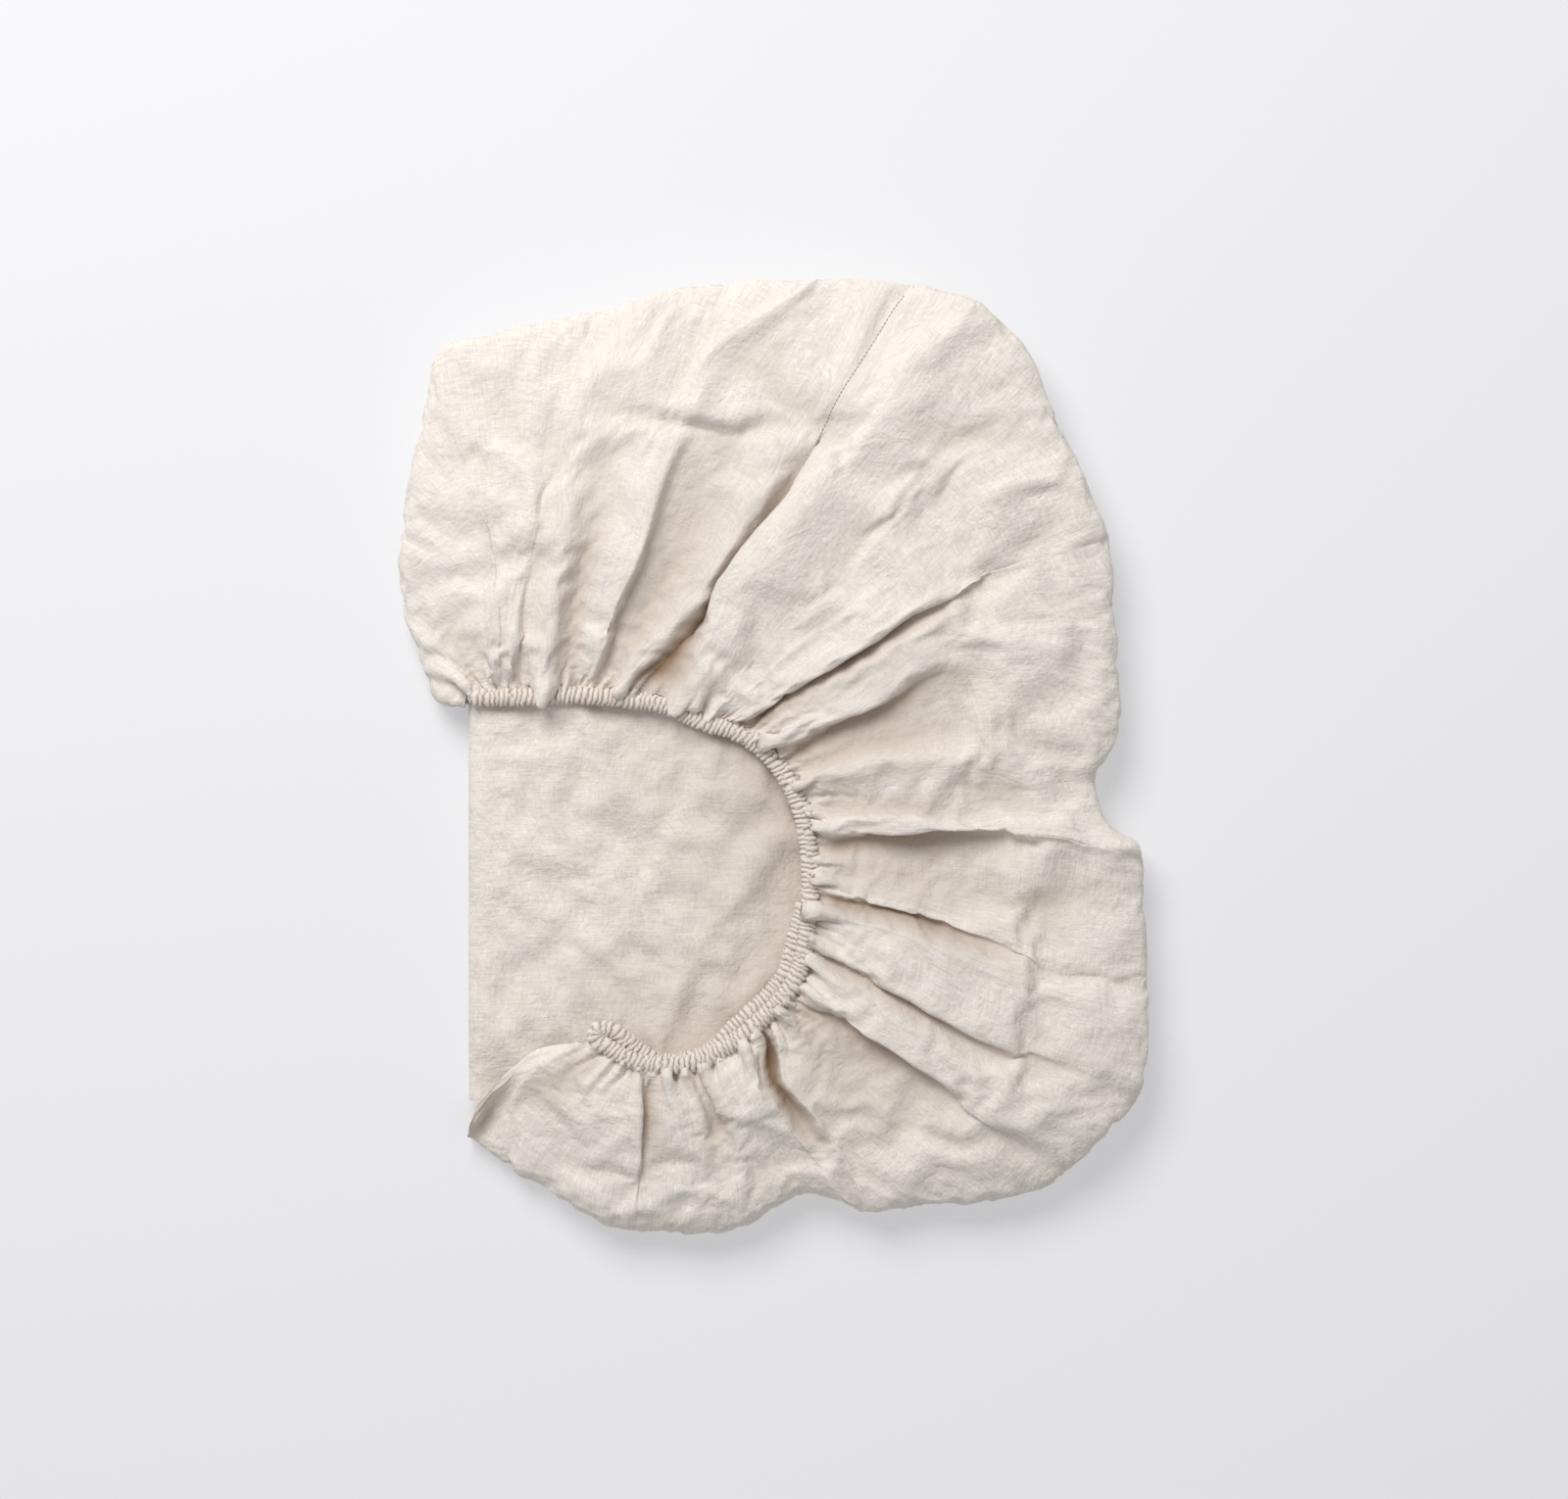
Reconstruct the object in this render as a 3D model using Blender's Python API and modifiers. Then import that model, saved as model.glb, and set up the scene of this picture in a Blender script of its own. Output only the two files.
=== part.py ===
"""Crumpled fitted sheet: a linen bed sheet folded into a flat bundle.

The cloth lies back and forth in a stack, its outermost layer wraps the left edge and crosses the
top as a flat panel, and the gathered corner pocket is pulled over the stack like a hood. A ruched
elastic casing edges the pocket's mouth. Metres, +Z up, origin under the middle of the bundle.
Lengths in the tables are in millimetres.
"""

import math
from collections import namedtuple

import bmesh
import bpy
import numpy as np

MM = 0.001

# The cloth
POCKET_WALL = 1.4
LAYER_WALL = 1.0

# The folded stack
LAYERS = 15
BASE_LEVEL = 1.5
PANEL_LEVEL = 28.3
STACK_LEFT = -178.5
WRAP_GAP = 2.2
LAYER_SHARES = (0, 0.35, 0.7, 0.83, 0.92, 1.0)
PANEL_PARTS = (4, 4, 2, 1, 1)
WRAP_STEPS = 6
STACK_STATIONS = 11

# The pocket's roll from its widest line down to the table
ROLL_INSET = 15.0
RIM_SHARE = 0.46
SHOULDER_SHARE = 0.80
ROLL_DEPTH_SHARE = 0.20
ROLL_DEPTH_MOST = 17.0
BASE_LEFT = -169.0

# The ruched casing
CASING_HALF_WIDTH = 4.6
CASING_HALF_HEIGHT = 3.2
CASING_GROOVE = 0.80
CASING_GAP = 1.1
CASING_PLEAT = 4.0
CASING_SIDES = 6
CASING_START = 15.0
HAIRPIN_AT = 496.0
RETURN_ENDS_AT = 292.0

# The mouth's edge, from the left end of the casing round the arch to the hairpin, then down the
# flap's folded edge to the lower left corner
MOUTH = (
    (-183.5, 33), (-183, 38), (-178, 42), (-165, 42.5), (-142, 43), (-119, 44), (-100, 43), (-78, 41),
    (-58, 37), (-38, 28), (-18, 22), (-1, 11), (12, -4), (23, -26), (28, -50), (29, -77), (28, -97),
    (24, -120), (15, -139), (-1, -156), (-17, -169), (-38, -181), (-61, -185), (-84, -181),
    (-105, -169), (-113, -166), (-136, -170), (-156, -185), (-170, -201), (-177, -215),
)

# The pocket's widest line seen from above, from the same end round to the same corner
RIM = (
    (-187, 32), (-201, 42), (-208, 60), (-219, 101), (-219, 124), (-211, 170), (-205, 199),
    (-196, 236), (-179, 246), (-136, 254), (-90, 265), (-55, 275), (-15, 279), (37, 280), (78, 276),
    (114, 267), (131, 254), (152, 229), (172, 184), (183, 156), (195, 127), (201, 87), (203, 43),
    (202, 12), (190, -12), (200, -37), (218, -53), (219, -95), (220, -129), (218, -189), (198, -215),
    (160, -249), (123, -258), (83, -264), (57, -267), (37, -260), (19, -256), (2, -265), (-24, -276),
    (-67, -280), (-96, -272), (-130, -255), (-165, -234), (-179, -224),
)

# One row for each crest, overhanging edge and valley of the pocket, clockwise from the left end.
# mouth and rim say where it starts and ends, along those two lines. bow_1 to bow_3 are how far it
# bends to the left of the straight way at a quarter, a half and three quarters of it. height_0 to
# height_3 are the cloth's heights at the mouth and at 0.1, 0.35 and 0.7 of the way out.
Fold = namedtuple(
    "Fold", "name mouth rim bow_1 bow_2 bow_3 height_0 height_1 height_2 height_3"
)
FOLDS = (
    Fold("left end", 0, 0, 0, 0, 0, 20, 20, 20, 18),
    Fold("end roll", 6, 19, 0, 0, 0, 27, 28, 28, 24),
    Fold("small fold", 13, 42, -2, -2, -1, 33, 35, 33, 27),
    Fold("dent", 19, 66, -4, -5, -3, 34, 34, 32, 28),
    Fold("flank", 26, 105, -12, -21, -16, 35, 39, 40, 35),
    Fold("left plain", 31, 181, -10, -16, -10, 35, 41, 43, 37),
    Fold("left top", 34, 240, -5, -6, -3, 35, 41, 44, 38),
    Fold("thin ridge", 37, 304, 4, 6, 3, 35, 43, 46, 42),
    Fold("thin ridge foot", 40, 312, 6, 7, 4, 35, 38, 42, 40),
    Fold("drop crest", 57, 344, 7, 12, 8, 36, 45, 49, 44),
    Fold("drop foot", 68, 367, 7, 11, 7, 35, 38, 45, 43),
    Fold("gather", 76, 385, 5, 8, 4, 35, 41, 47, 44),
    Fold("first ridge", 83, 440, 8, 19, 25, 36, 45, 52, 49),
    Fold("first ridge foot", 88, 451, 6, 15, 16, 35, 37, 44, 45),
    Fold("first valley", 94, 465, 3, 9, 9, 35, 37, 42, 44),
    Fold("band", 102, 486, -10, -9, -10, 36, 43, 49, 48),
    Fold("seam valley", 113, 501, -6, -5, -1, 35, 36, 37, 44),
    Fold("second ridge", 142, 518, 20, 12, 5, 37, 45, 55, 52),
    Fold("second shoulder", 149, 538, 11, 10, 6, 36, 44, 53, 52),
    Fold("broad face", 157, 574, 1, 1, 0, 36, 43, 50, 50),
    Fold("broad face low", 163, 626, -1, 3, 11, 36, 43, 49, 48),
    Fold("hood", 168, 664, -2, 0, 14, 36, 44, 50, 50),
    Fold("hood edge", 174, 691, 2, 7, 4, 36, 44, 51, 49),
    Fold("hood foot", 179, 702, 4, 8, 6, 35, 37, 38, 43),
    Fold("third ridge", 187, 730, 10, 17, 16, 36, 43, 49, 47),
    Fold("third shoulder", 194, 753, 9, 23, 17, 36, 43, 49, 46),
    Fold("third edge", 201, 779, 11, 31, 23, 36, 44, 48, 45),
    Fold("third foot", 209, 796, 12, 28, 19, 35, 37, 41, 43),
    Fold("third valley", 215, 813, 9, 13, 9, 35, 38, 42, 44),
    Fold("fourth crest", 225, 831, 6, 6, 0, 36, 43, 48, 46),
    Fold("fourth low", 232, 846, 1, -1, -4, 35, 39, 46, 41),
    Fold("thin valley", 241, 857, -3, -5, -3, 35, 37, 44, 42),
    Fold("fifth crest", 250, 874, 1, 1, 1, 36, 43, 49, 47),
    Fold("fifth edge", 258, 894, 3, 5, 2, 36, 43, 50, 49),
    Fold("fifth foot", 266, 905, 4, 6, 5, 35, 37, 38, 42),
    Fold("fifth floor", 275, 925, 0, 0, -1, 35, 38, 40, 42),
    Fold("sixth edge", 289, 965, -1, -3, -10, 36, 42, 44, 40),
    Fold("sixth foot", 295, 976, 3, -1, -7, 36, 38, 40, 43),
    Fold("sixth crest", 306, 999, 4, -1, -2, 37, 43, 49, 49),
    Fold("seventh edge", 321, 1028, -7, -13, -7, 38, 43, 49, 48),
    Fold("seventh valley", 328, 1046, -4, -7, -3, 38, 39, 42, 44),
    Fold("eighth crest", 338, 1068, -1, -6, -4, 38, 44, 49, 48),
    Fold("eighth edge", 351, 1090, -2, -2, 1, 39, 44, 49, 44),
    Fold("eighth foot", 360, 1110, 1, 2, 2, 38, 38, 38, 37),
    Fold("low floor", 368, 1157, -2, -1, 0, 39, 40, 41, 37),
    Fold("low face", 375, 1197, -7, -7, -4, 39, 42, 44, 39),
    Fold("slit right lip", 380, 1222, -9, -5, -1, 39, 43, 45, 40),
    Fold("slit floor", 384, 1227, -8, -4, 0, 38, 37, 36, 36),
    Fold("slit left lip", 389, 1231, -6, -3, 0, 40, 43, 45, 39),
    Fold("ninth puff", 399, 1263, -2, -3, -2, 41, 45, 46, 38),
    Fold("tenth ridge", 418, 1292, 3, 4, 2, 42, 45, 45, 37),
    Fold("tenth foot", 430, 1311, 7, 8, 4, 42, 41, 39, 35),
    Fold("tongue right", 440, 1330, 7, 8, 5, 42, 43, 43, 36),
    Fold("tongue left", 449, 1346, 2, 2, 1, 42, 44, 44, 36),
    Fold("pleat foot", 458, 1360, 0, -1, -1, 42, 41, 39, 34),
    Fold("pleat crest", 464, 1372, 3, 4, 2, 42, 45, 45, 36),
    Fold("low flank", 472, 1403, -2, -4, -4, 41, 43, 43, 34),
    Fold("diagonal ridge", 483, 1437, -1, -3, -4, 40, 42, 41, 31),
    Fold("diagonal shade", 491, 1453, -2, -11, -9, 38, 38, 36, 27),
    Fold("flap edge start", 502, 1463, -7, -10, -7, 37, 39, 37, 25),
    Fold("flap edge", 520, 1469, -5, -4, -2, 34, 36, 33, 21),
    Fold("flap edge low", 544, 1475, 0, 0, 0, 32, 33, 30, 18),
    Fold("flap edge tip", 570, 1477, 0, 0, 0, 30, 30, 28, 19),
    Fold("flap corner", 590, 1479, 0, 0, 0, 26, 26, 25, 19),
)
FOLD_SPREAD = 22.0
HEIGHT_PLACES = (0.0, 0.1, 0.35, 0.7)
POCKET_STATIONS = (0, 0.4, 0.8, 1.2, 1.6, 2, 2.35, 2.7, 3, 3.5, 4, 4.5, 5, 5.5, 6, 7)

# How far the casing's middle is above the table, by the distance along the mouth
CASING_HEIGHTS = ((0, 30), (14, 34), (30, 34.6), (270, 34.8), (330, 38), (430, 41.2), (470, 41), (500, 38))
# The strand that comes back: how far inside the mouth's edge it lies, and its height
Return = namedtuple("Return", "along inside height")
RETURN_STRAND = (
    Return(292, 7.0, 33.6),
    Return(306, 12.0, 33.6),
    Return(330, 14.2, 33.6),
    Return(400, 13.5, 33.6),
    Return(424, 10.0, 33.6),
    Return(455, 9.5, 33.6),
    Return(470, 12.0, 34.0),
    Return(490, 15.0, 36.4),
)

# The stack's outline seen from above: its right edge by the share of the way from front to back,
# and its front and back edges by x
STACK_RIGHT = (
    (0, 168), (0.1, 186), (0.2, 195), (0.35, 194), (0.45, 166), (0.55, 178), (0.7, 172), (0.8, 158),
    (0.9, 138), (1, 112),
)
STACK_FRONT = (
    (-180, -201), (-165, -204), (-130, -219), (-100, -232), (-50, -242), (20, -230), (80, -238),
    (130, -226), (170, -200),
)
STACK_BACK = ((-180, 215), (-120, 228), (-60, 246), (0, 254), (70, 250), (112, 238), (150, 196))
# Soft swells of the panel: place, reach and height
Swell = namedtuple("Swell", "x y reach_x reach_y height")
PANEL_SWELLS = (
    Swell(-140, -20, 40, 60, 0.9),
    Swell(-60, -60, 36, 50, -0.8),
    Swell(-100, -130, 50, 30, 0.8),
    Swell(-20, -90, 24, 50, -1.2),
    Swell(-70, 20, 50, 22, -0.9),
    Swell(-150, -150, 30, 40, -0.7),
)
STACK_EDGE_DROP = 9.0
STACK_EDGE_REACH = 28.0

LINEN_COLOUR = (0.78, 0.72, 0.64, 1.0)
CASING_COLOUR = (0.80, 0.73, 0.64, 1.0)


def smooth_line(points, steps=12):
    """Return a smooth curve through the points, as an array of closely spaced points."""
    knots = np.asarray(points, float)
    knots = np.vstack([2 * knots[0] - knots[1], knots, 2 * knots[-1] - knots[-2]])
    share = (np.arange(steps) / steps)[:, None]
    runs = []
    for before, here, there, after in zip(knots, knots[1:], knots[2:], knots[3:]):
        bend = 2 * before - 5 * here + 4 * there - after
        twist = 3 * here - before - 3 * there + after
        runs.append(here + 0.5 * ((there - before) * share + bend * share**2 + twist * share**3))
    return np.vstack(runs + [knots[-2:-1]])


def lengths_along(line):
    """Return the distance along a line at each of its points."""
    return np.r_[0, np.cumsum(np.linalg.norm(np.diff(line, axis=0), axis=1))]


def place_along(line, distance):
    """Return the points of a line at the given distances along it."""
    reach = lengths_along(line)
    return np.stack([np.interp(distance, reach, axis) for axis in line.T], -1)


def steady_curve(places, values, where):
    """Interpolate with a cubic that never swings past the values it passes through."""
    places, values = np.asarray(places, float), np.asarray(values, float)
    gaps = np.diff(places)
    slopes = np.diff(values) / gaps
    tangents = np.zeros(len(places))
    same_way = slopes[:-1] * slopes[1:] > 0
    weight_a = 2 * gaps[1:] + gaps[:-1]
    weight_b = gaps[1:] + 2 * gaps[:-1]
    safe_a = np.where(same_way, slopes[:-1], 1)
    safe_b = np.where(same_way, slopes[1:], 1)
    blend = (weight_a + weight_b) / (weight_a / safe_a + weight_b / safe_b)
    tangents[1:-1] = np.where(same_way, blend, 0)
    tangents[0], tangents[-1] = slopes[0], slopes[-1]
    where = np.clip(where, places[0], places[-1])
    span = np.clip(np.searchsorted(places, where, side="right") - 1, 0, len(gaps) - 1)
    share = (where - places[span]) / gaps[span]
    rise = slopes[span] * gaps[span]
    start, end = tangents[span] * gaps[span], tangents[span + 1] * gaps[span]
    return (
        values[span]
        + start * share
        + (3 * rise - 2 * start - end) * share**2
        + (start + end - 2 * rise) * share**3
    )


def through_stations(controls, station):
    """Follow a smooth curve through controls, an array (controls, columns), at each row's station."""
    last = len(controls) - 2
    padded = np.concatenate([2 * controls[:1] - controls[1:2], controls, 2 * controls[-1:] - controls[-2:-1]])
    points = []
    for value in station:
        start = min(int(value), last)
        share = value - start
        before, here, there, after = padded[start : start + 4]
        bend = 2 * before - 5 * here + 4 * there - after
        twist = 3 * here - before - 3 * there + after
        points.append(here + 0.5 * ((there - before) * share + bend * share**2 + twist * share**3))
    return np.array(points)


def fold_column(name, where):
    """Read one column of the fold table at fractional row numbers."""
    values = [getattr(fold, name) for fold in FOLDS]
    return steady_curve(np.arange(len(FOLDS)), values, where)


def fold_rows():
    """Choose the pocket's columns: every row of the table, and more where rows lie far apart."""
    rows = []
    for number, (fold, following) in enumerate(zip(FOLDS, FOLDS[1:])):
        parts = max(1, math.ceil((following.rim - fold.rim) / FOLD_SPREAD))
        rows.extend(number + part / parts for part in range(parts))
    return np.array(rows + [len(FOLDS) - 1.0])


def pocket_surface(rows, stations):
    """Return the pocket's outer surface in millimetres, an array (stations, rows, 3).

    A station runs from 0 at the mouth through 3 on the crown and 5 at the widest line to 7 on
    the table.
    """
    mouth = place_along(smooth_line(MOUTH), fold_column("mouth", rows))
    rim = place_along(smooth_line(RIM), fold_column("rim", rows))
    way = rim - mouth
    reach = np.linalg.norm(way, axis=1)
    left = np.stack([-way[:, 1], way[:, 0]], -1) / reach[:, None]
    heights = [fold_column(f"height_{number}", rows) for number in range(4)]
    depth = np.minimum(ROLL_DEPTH_MOST, ROLL_DEPTH_SHARE * reach)
    inset = np.minimum(ROLL_INSET, 4 + 0.3 * reach)
    outward = [place * reach for place in HEIGHT_PLACES]
    outward += [reach - 0.35 * depth, reach, reach - 0.3 * inset, reach - inset]
    crown = heights[3]
    heights += [crown * SHOULDER_SHARE, crown * RIM_SHARE, crown * 0.12, np.zeros_like(reach)]
    profile = through_stations(np.stack([outward, heights], -1), stations)
    share = profile[..., 0] / reach
    bows = [np.zeros_like(reach)] + [fold_column(f"bow_{number}", rows) for number in (1, 2, 3)]
    bows += [np.zeros_like(reach)]
    bow = bow_between(np.array(bows), share)
    plan = mouth + share[..., None] * way + bow[..., None] * left
    return np.concatenate([plan, np.maximum(profile[..., 1:], 0)], axis=-1)


def bow_between(bows, share):
    """Interpolate the sideways bows, given at every quarter of the way, at each share of it."""
    place = np.clip(share, 0, 1) * (len(bows) - 1)
    start = np.minimum(place.astype(int), len(bows) - 2)
    part = place - start
    soft = part * part * (3 - 2 * part)
    mixed = 0.5 * (part + soft)
    column = np.arange(share.shape[1])
    return bows[start, column] * (1 - mixed) + bows[start + 1, column] * mixed


def panel_height(x, y):
    """Return the height of the top panel's middle over a point of the table."""
    height = np.full(np.shape(x), PANEL_LEVEL)
    for swell in PANEL_SWELLS:
        away = ((x - swell.x) / swell.reach_x) ** 2 + ((y - swell.y) / swell.reach_y) ** 2
        height = height + swell.height * np.exp(-away)
    return height


def stack_section():
    """List the stack's section as (share of the width, level, turn), in the cloth's own order.

    The level runs from 0 on the base to 1 at the panel. A turn of -1 is the outer wrap, where the
    share is the wrap's own, and otherwise the turn is the sideways bulge of a fold.
    """
    pitch = 1 / (LAYERS - 1)
    panel = [0.0]
    for start, end, parts in zip(LAYER_SHARES, LAYER_SHARES[1:], PANEL_PARTS):
        panel += [start + (end - start) * (part + 1) / parts for part in range(parts)]
    section = [(share, 1.0, 0) for share in reversed(panel)]
    section += [(step / WRAP_STEPS, 0.0, -1) for step in range(1, WRAP_STEPS)]
    rightward = True
    for layer in range(LAYERS - 1):
        run = LAYER_SHARES if rightward else LAYER_SHARES[::-1]
        section += [(share, layer * pitch, 0) for share in run]
        if layer < LAYERS - 2:
            bulge = 1 if rightward else -0.999
            section.append((run[-1], (layer + 0.5) * pitch, bulge))
        rightward = not rightward
    return section


def stack_surface():
    """Return the middle of the stack's cloth in millimetres, an array (stations, section, 3)."""
    section = np.array(stack_section())
    share, level, turn = section.T
    along = np.linspace(0, 1, STACK_STATIONS + 1)[:, None]
    radius = (PANEL_LEVEL - BASE_LEVEL) / 2
    middle = (PANEL_LEVEL + BASE_LEVEL) / 2
    off_middle = BASE_LEVEL + level * 2 * radius - middle
    wrapped = STACK_LEFT + radius - np.sqrt(np.maximum(radius**2 - off_middle**2, 0))
    outermost = (level == 0) | (level == 1)
    left = np.where(outermost, STACK_LEFT + radius, wrapped + WRAP_GAP)
    right_edge = steady_curve(*np.transpose(STACK_RIGHT), along)
    stagger = 2.5 * np.sin(level * 47.0) - 2.5
    right = right_edge + stagger
    half_pitch = radius / (LAYERS - 1)
    angle = math.pi * share
    x = np.where(turn == -1, STACK_LEFT + radius * (1 - np.sin(angle)), left + share * (right - left))
    x = x + np.where(turn == -1, 0, np.sign(turn) * half_pitch)
    front = steady_curve(*np.transpose(STACK_FRONT), x)
    back = steady_curve(*np.transpose(STACK_BACK), x)
    y = front + along * (back - front)
    top = panel_height(x, y)
    edge = np.minimum(np.minimum(y - front, back - y), right_edge - x)
    top = top - STACK_EDGE_DROP * np.exp(-((edge / STACK_EDGE_REACH) ** 2))
    around = 0.5 * (1 + np.cos(angle))
    z = BASE_LEVEL + np.where(turn == -1, around, level) * (top - BASE_LEVEL)
    return np.stack(np.broadcast_arrays(x, y, z), -1)


def casing_line():
    """Return the casing's middle line in millimetres, round the arch, the hairpin and back."""
    mouth = smooth_line(MOUTH)
    across = CASING_HALF_WIDTH + CASING_GAP

    def inside(distance, offset):
        ahead = place_along(mouth, distance + 1.5) - place_along(mouth, distance - 1.5)
        ahead /= np.linalg.norm(ahead, axis=1)[:, None]
        return place_along(mouth, distance) + offset[:, None] * np.stack([ahead[:, 1], -ahead[:, 0]], -1)

    out = np.arange(CASING_START, HAIRPIN_AT, 6.0)
    main = inside(out, np.full(len(out), across))
    main_height = steady_curve(*np.transpose(CASING_HEIGHTS), out)
    back = np.arange(HAIRPIN_AT - 6, RETURN_ENDS_AT, -6.0)
    columns = np.transpose(RETURN_STRAND)
    strand = inside(back, steady_curve(columns[0], columns[1], back))
    strand_height = steady_curve(columns[0], columns[2], back)
    start, end = main[-1], strand[0]
    ahead = main[-1] - main[-2]
    ahead /= np.linalg.norm(ahead)
    radius = np.linalg.norm(end - start) / 2
    turn = ((start + end) / 2 + ahead * radius)[None]
    plan = np.vstack([main, turn, strand])
    turn_height = (main_height[-1] + strand_height[0]) / 2
    height = np.r_[main_height, turn_height, strand_height]
    return smooth_line(np.column_stack([plan, height]))


def casing_surface():
    """Return the ruched casing's surface in millimetres, an array (sides + 1, rings, 3)."""
    line = casing_line()
    total = lengths_along(line)[-1]
    rings = 2 * round(total / CASING_PLEAT)
    distance = np.linspace(0, total, rings + 1)
    middle = place_along(line, distance)
    ahead = place_along(line, np.minimum(distance + 1, total)) - place_along(line, np.maximum(distance - 1, 0))
    ahead /= np.linalg.norm(ahead, axis=1)[:, None]
    side = np.stack([ahead[:, 1], -ahead[:, 0], np.zeros(len(ahead))], -1)
    side /= np.linalg.norm(side, axis=1)[:, None]
    up = np.cross(side, ahead)
    swell = np.where(np.arange(rings + 1) % 2 == 0, CASING_GROOVE, 1.0)
    swell[[0, -1]] = 0.5
    angle = np.linspace(0, 2 * math.pi, CASING_SIDES + 1)[:, None]
    wide = CASING_HALF_WIDTH * swell * np.cos(angle)
    high = CASING_HALF_HEIGHT * swell * np.sin(angle)
    return middle + wide[..., None] * side + high[..., None] * up


def cloth_grid(surface):
    """Form a grid of cloth into the given surface, an array (rows, columns, 3) in millimetres."""
    rows, columns = surface.shape[:2]
    grid = bmesh.new()
    bmesh.ops.create_grid(grid, x_segments=columns - 1, y_segments=rows - 1, size=0.5)
    for vertex in grid.verts:
        column = round((vertex.co.x + 0.5) * (columns - 1))
        row = round((vertex.co.y + 0.5) * (rows - 1))
        vertex.co = surface[row, column] * MM
    return grid


def cloth_object(name, grid, collection):
    """Write the grid to a mesh and link its object."""
    mesh = bpy.data.meshes.new(name)
    grid.to_mesh(mesh)
    grid.free()
    cloth = bpy.data.objects.new(name, mesh)
    collection.objects.link(cloth)
    return cloth


def add_wall(cloth, thickness, offset):
    """Give an open sheet its thickness, in millimetres."""
    wall = cloth.modifiers.new("Wall", "SOLIDIFY")
    wall.thickness = thickness * MM
    wall.offset = offset
    wall.use_even_offset = False
    wall.use_quality_normals = True


def make_pocket(collection):
    """Build the pocket with its base: a hood that is open at the mouth."""
    surface = pocket_surface(fold_rows(), POCKET_STATIONS)
    grid = cloth_grid(surface)
    lowest = sorted(
        (vertex for vertex in grid.verts if vertex.co.z < 1e-6 and vertex.is_boundary),
        key=lambda vertex: vertex.index,
    )
    low_end, high_end = surface[-1, 0], surface[-1, -1]
    corners = [(BASE_LEFT, high_end[1] + 6, 0), (BASE_LEFT, low_end[1] - 3, 0)]
    added = [grid.verts.new(np.array(corner) * MM) for corner in corners]
    base = grid.faces.new(lowest + added)
    bmesh.ops.recalc_face_normals(grid, faces=grid.faces)
    grid.normal_update()
    if base.normal.z > 0:
        bmesh.ops.reverse_faces(grid, faces=grid.faces)
    pocket = cloth_object("linen_sheet", grid, collection)
    add_wall(pocket, POCKET_WALL, -1)
    return pocket


def make_stack(collection):
    """Build the back-and-forth stack with its wrapped left edge and top panel."""
    stack = cloth_object("stack", cloth_grid(stack_surface()), collection)
    add_wall(stack, LAYER_WALL, 0)
    return stack


def make_casing(collection):
    """Build the ruched elastic casing, one closed strand."""
    grid = cloth_grid(casing_surface())
    bmesh.ops.remove_doubles(grid, verts=grid.verts, dist=0.01 * MM)
    bmesh.ops.holes_fill(grid, edges=grid.edges, sides=CASING_SIDES)
    bmesh.ops.recalc_face_normals(grid, faces=grid.faces)
    return cloth_object("elastic_casing", grid, collection)


def cloth_material(name, colour):
    """Return a matt cloth material."""
    material = bpy.data.materials.new(name)
    material.use_nodes = True
    shader = material.node_tree.nodes["Principled BSDF"]
    shader.inputs["Base Color"].default_value = colour
    shader.inputs["Roughness"].default_value = 0.92
    shader.inputs["Metallic"].default_value = 0.0
    return material


def join_stack(pocket, stack):
    """Fuse the stack into the pocket's base, so the whole cloth is one piece."""
    union = pocket.modifiers.new("Stack", "BOOLEAN")
    union.operation = "UNION"
    union.solver = "EXACT"
    union.object = stack
    stack.hide_render = True
    stack.display_type = "WIRE"


def main():
    """Build the fitted sheet."""
    for existing in list(bpy.data.objects):
        bpy.data.objects.remove(existing, do_unlink=True)
    parts = bpy.data.collections.new("fitted_sheet")
    tools = bpy.data.collections.new("cutters")
    for collection in (parts, tools):
        bpy.context.scene.collection.children.link(collection)
    linen = make_pocket(parts)
    join_stack(linen, make_stack(tools))
    linen.data.materials.append(cloth_material("natural linen", LINEN_COLOUR))
    casing = make_casing(parts)
    casing.data.materials.append(cloth_material("ruched linen casing", CASING_COLOUR))


main()
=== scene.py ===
"""Crumpled fitted sheet: the linen, its ruched casing, its corner seam, the floor, light and camera.

The cloth is one thin sheet: the pocket is shaped by its folds, the stack below lies back and forth,
and both carry the small gathers and creases of washed linen. Table lengths are in millimetres.
"""
import logging
import math
from dataclasses import dataclass, field
from enum import Enum
from functools import reduce
from typing import Any, Sequence

import bmesh
import bpy
import numpy as np
from bmesh.types import BMesh
from bpy.types import Material, Mesh, Node, NodeSocket, Object
from mathutils import Matrix, Vector
from numpy import ndarray as Array


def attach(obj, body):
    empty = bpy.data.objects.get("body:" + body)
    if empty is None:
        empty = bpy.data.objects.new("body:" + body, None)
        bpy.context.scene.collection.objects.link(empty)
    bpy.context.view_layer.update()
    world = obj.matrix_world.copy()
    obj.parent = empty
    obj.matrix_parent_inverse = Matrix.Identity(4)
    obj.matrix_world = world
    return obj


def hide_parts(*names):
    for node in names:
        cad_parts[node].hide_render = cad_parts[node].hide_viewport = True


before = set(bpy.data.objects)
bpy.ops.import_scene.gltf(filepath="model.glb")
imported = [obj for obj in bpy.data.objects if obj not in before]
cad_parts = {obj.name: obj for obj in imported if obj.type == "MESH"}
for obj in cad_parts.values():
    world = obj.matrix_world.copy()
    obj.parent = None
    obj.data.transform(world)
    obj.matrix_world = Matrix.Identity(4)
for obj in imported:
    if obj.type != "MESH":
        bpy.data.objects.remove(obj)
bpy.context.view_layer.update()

log = logging.getLogger("fitted_sheet")

MM = 0.001
ROOT = "root"


class Slot(Enum):
    """The record's material slots."""

    LINEN = "natural_linen"
    CASING = "ruched_casing"


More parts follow.
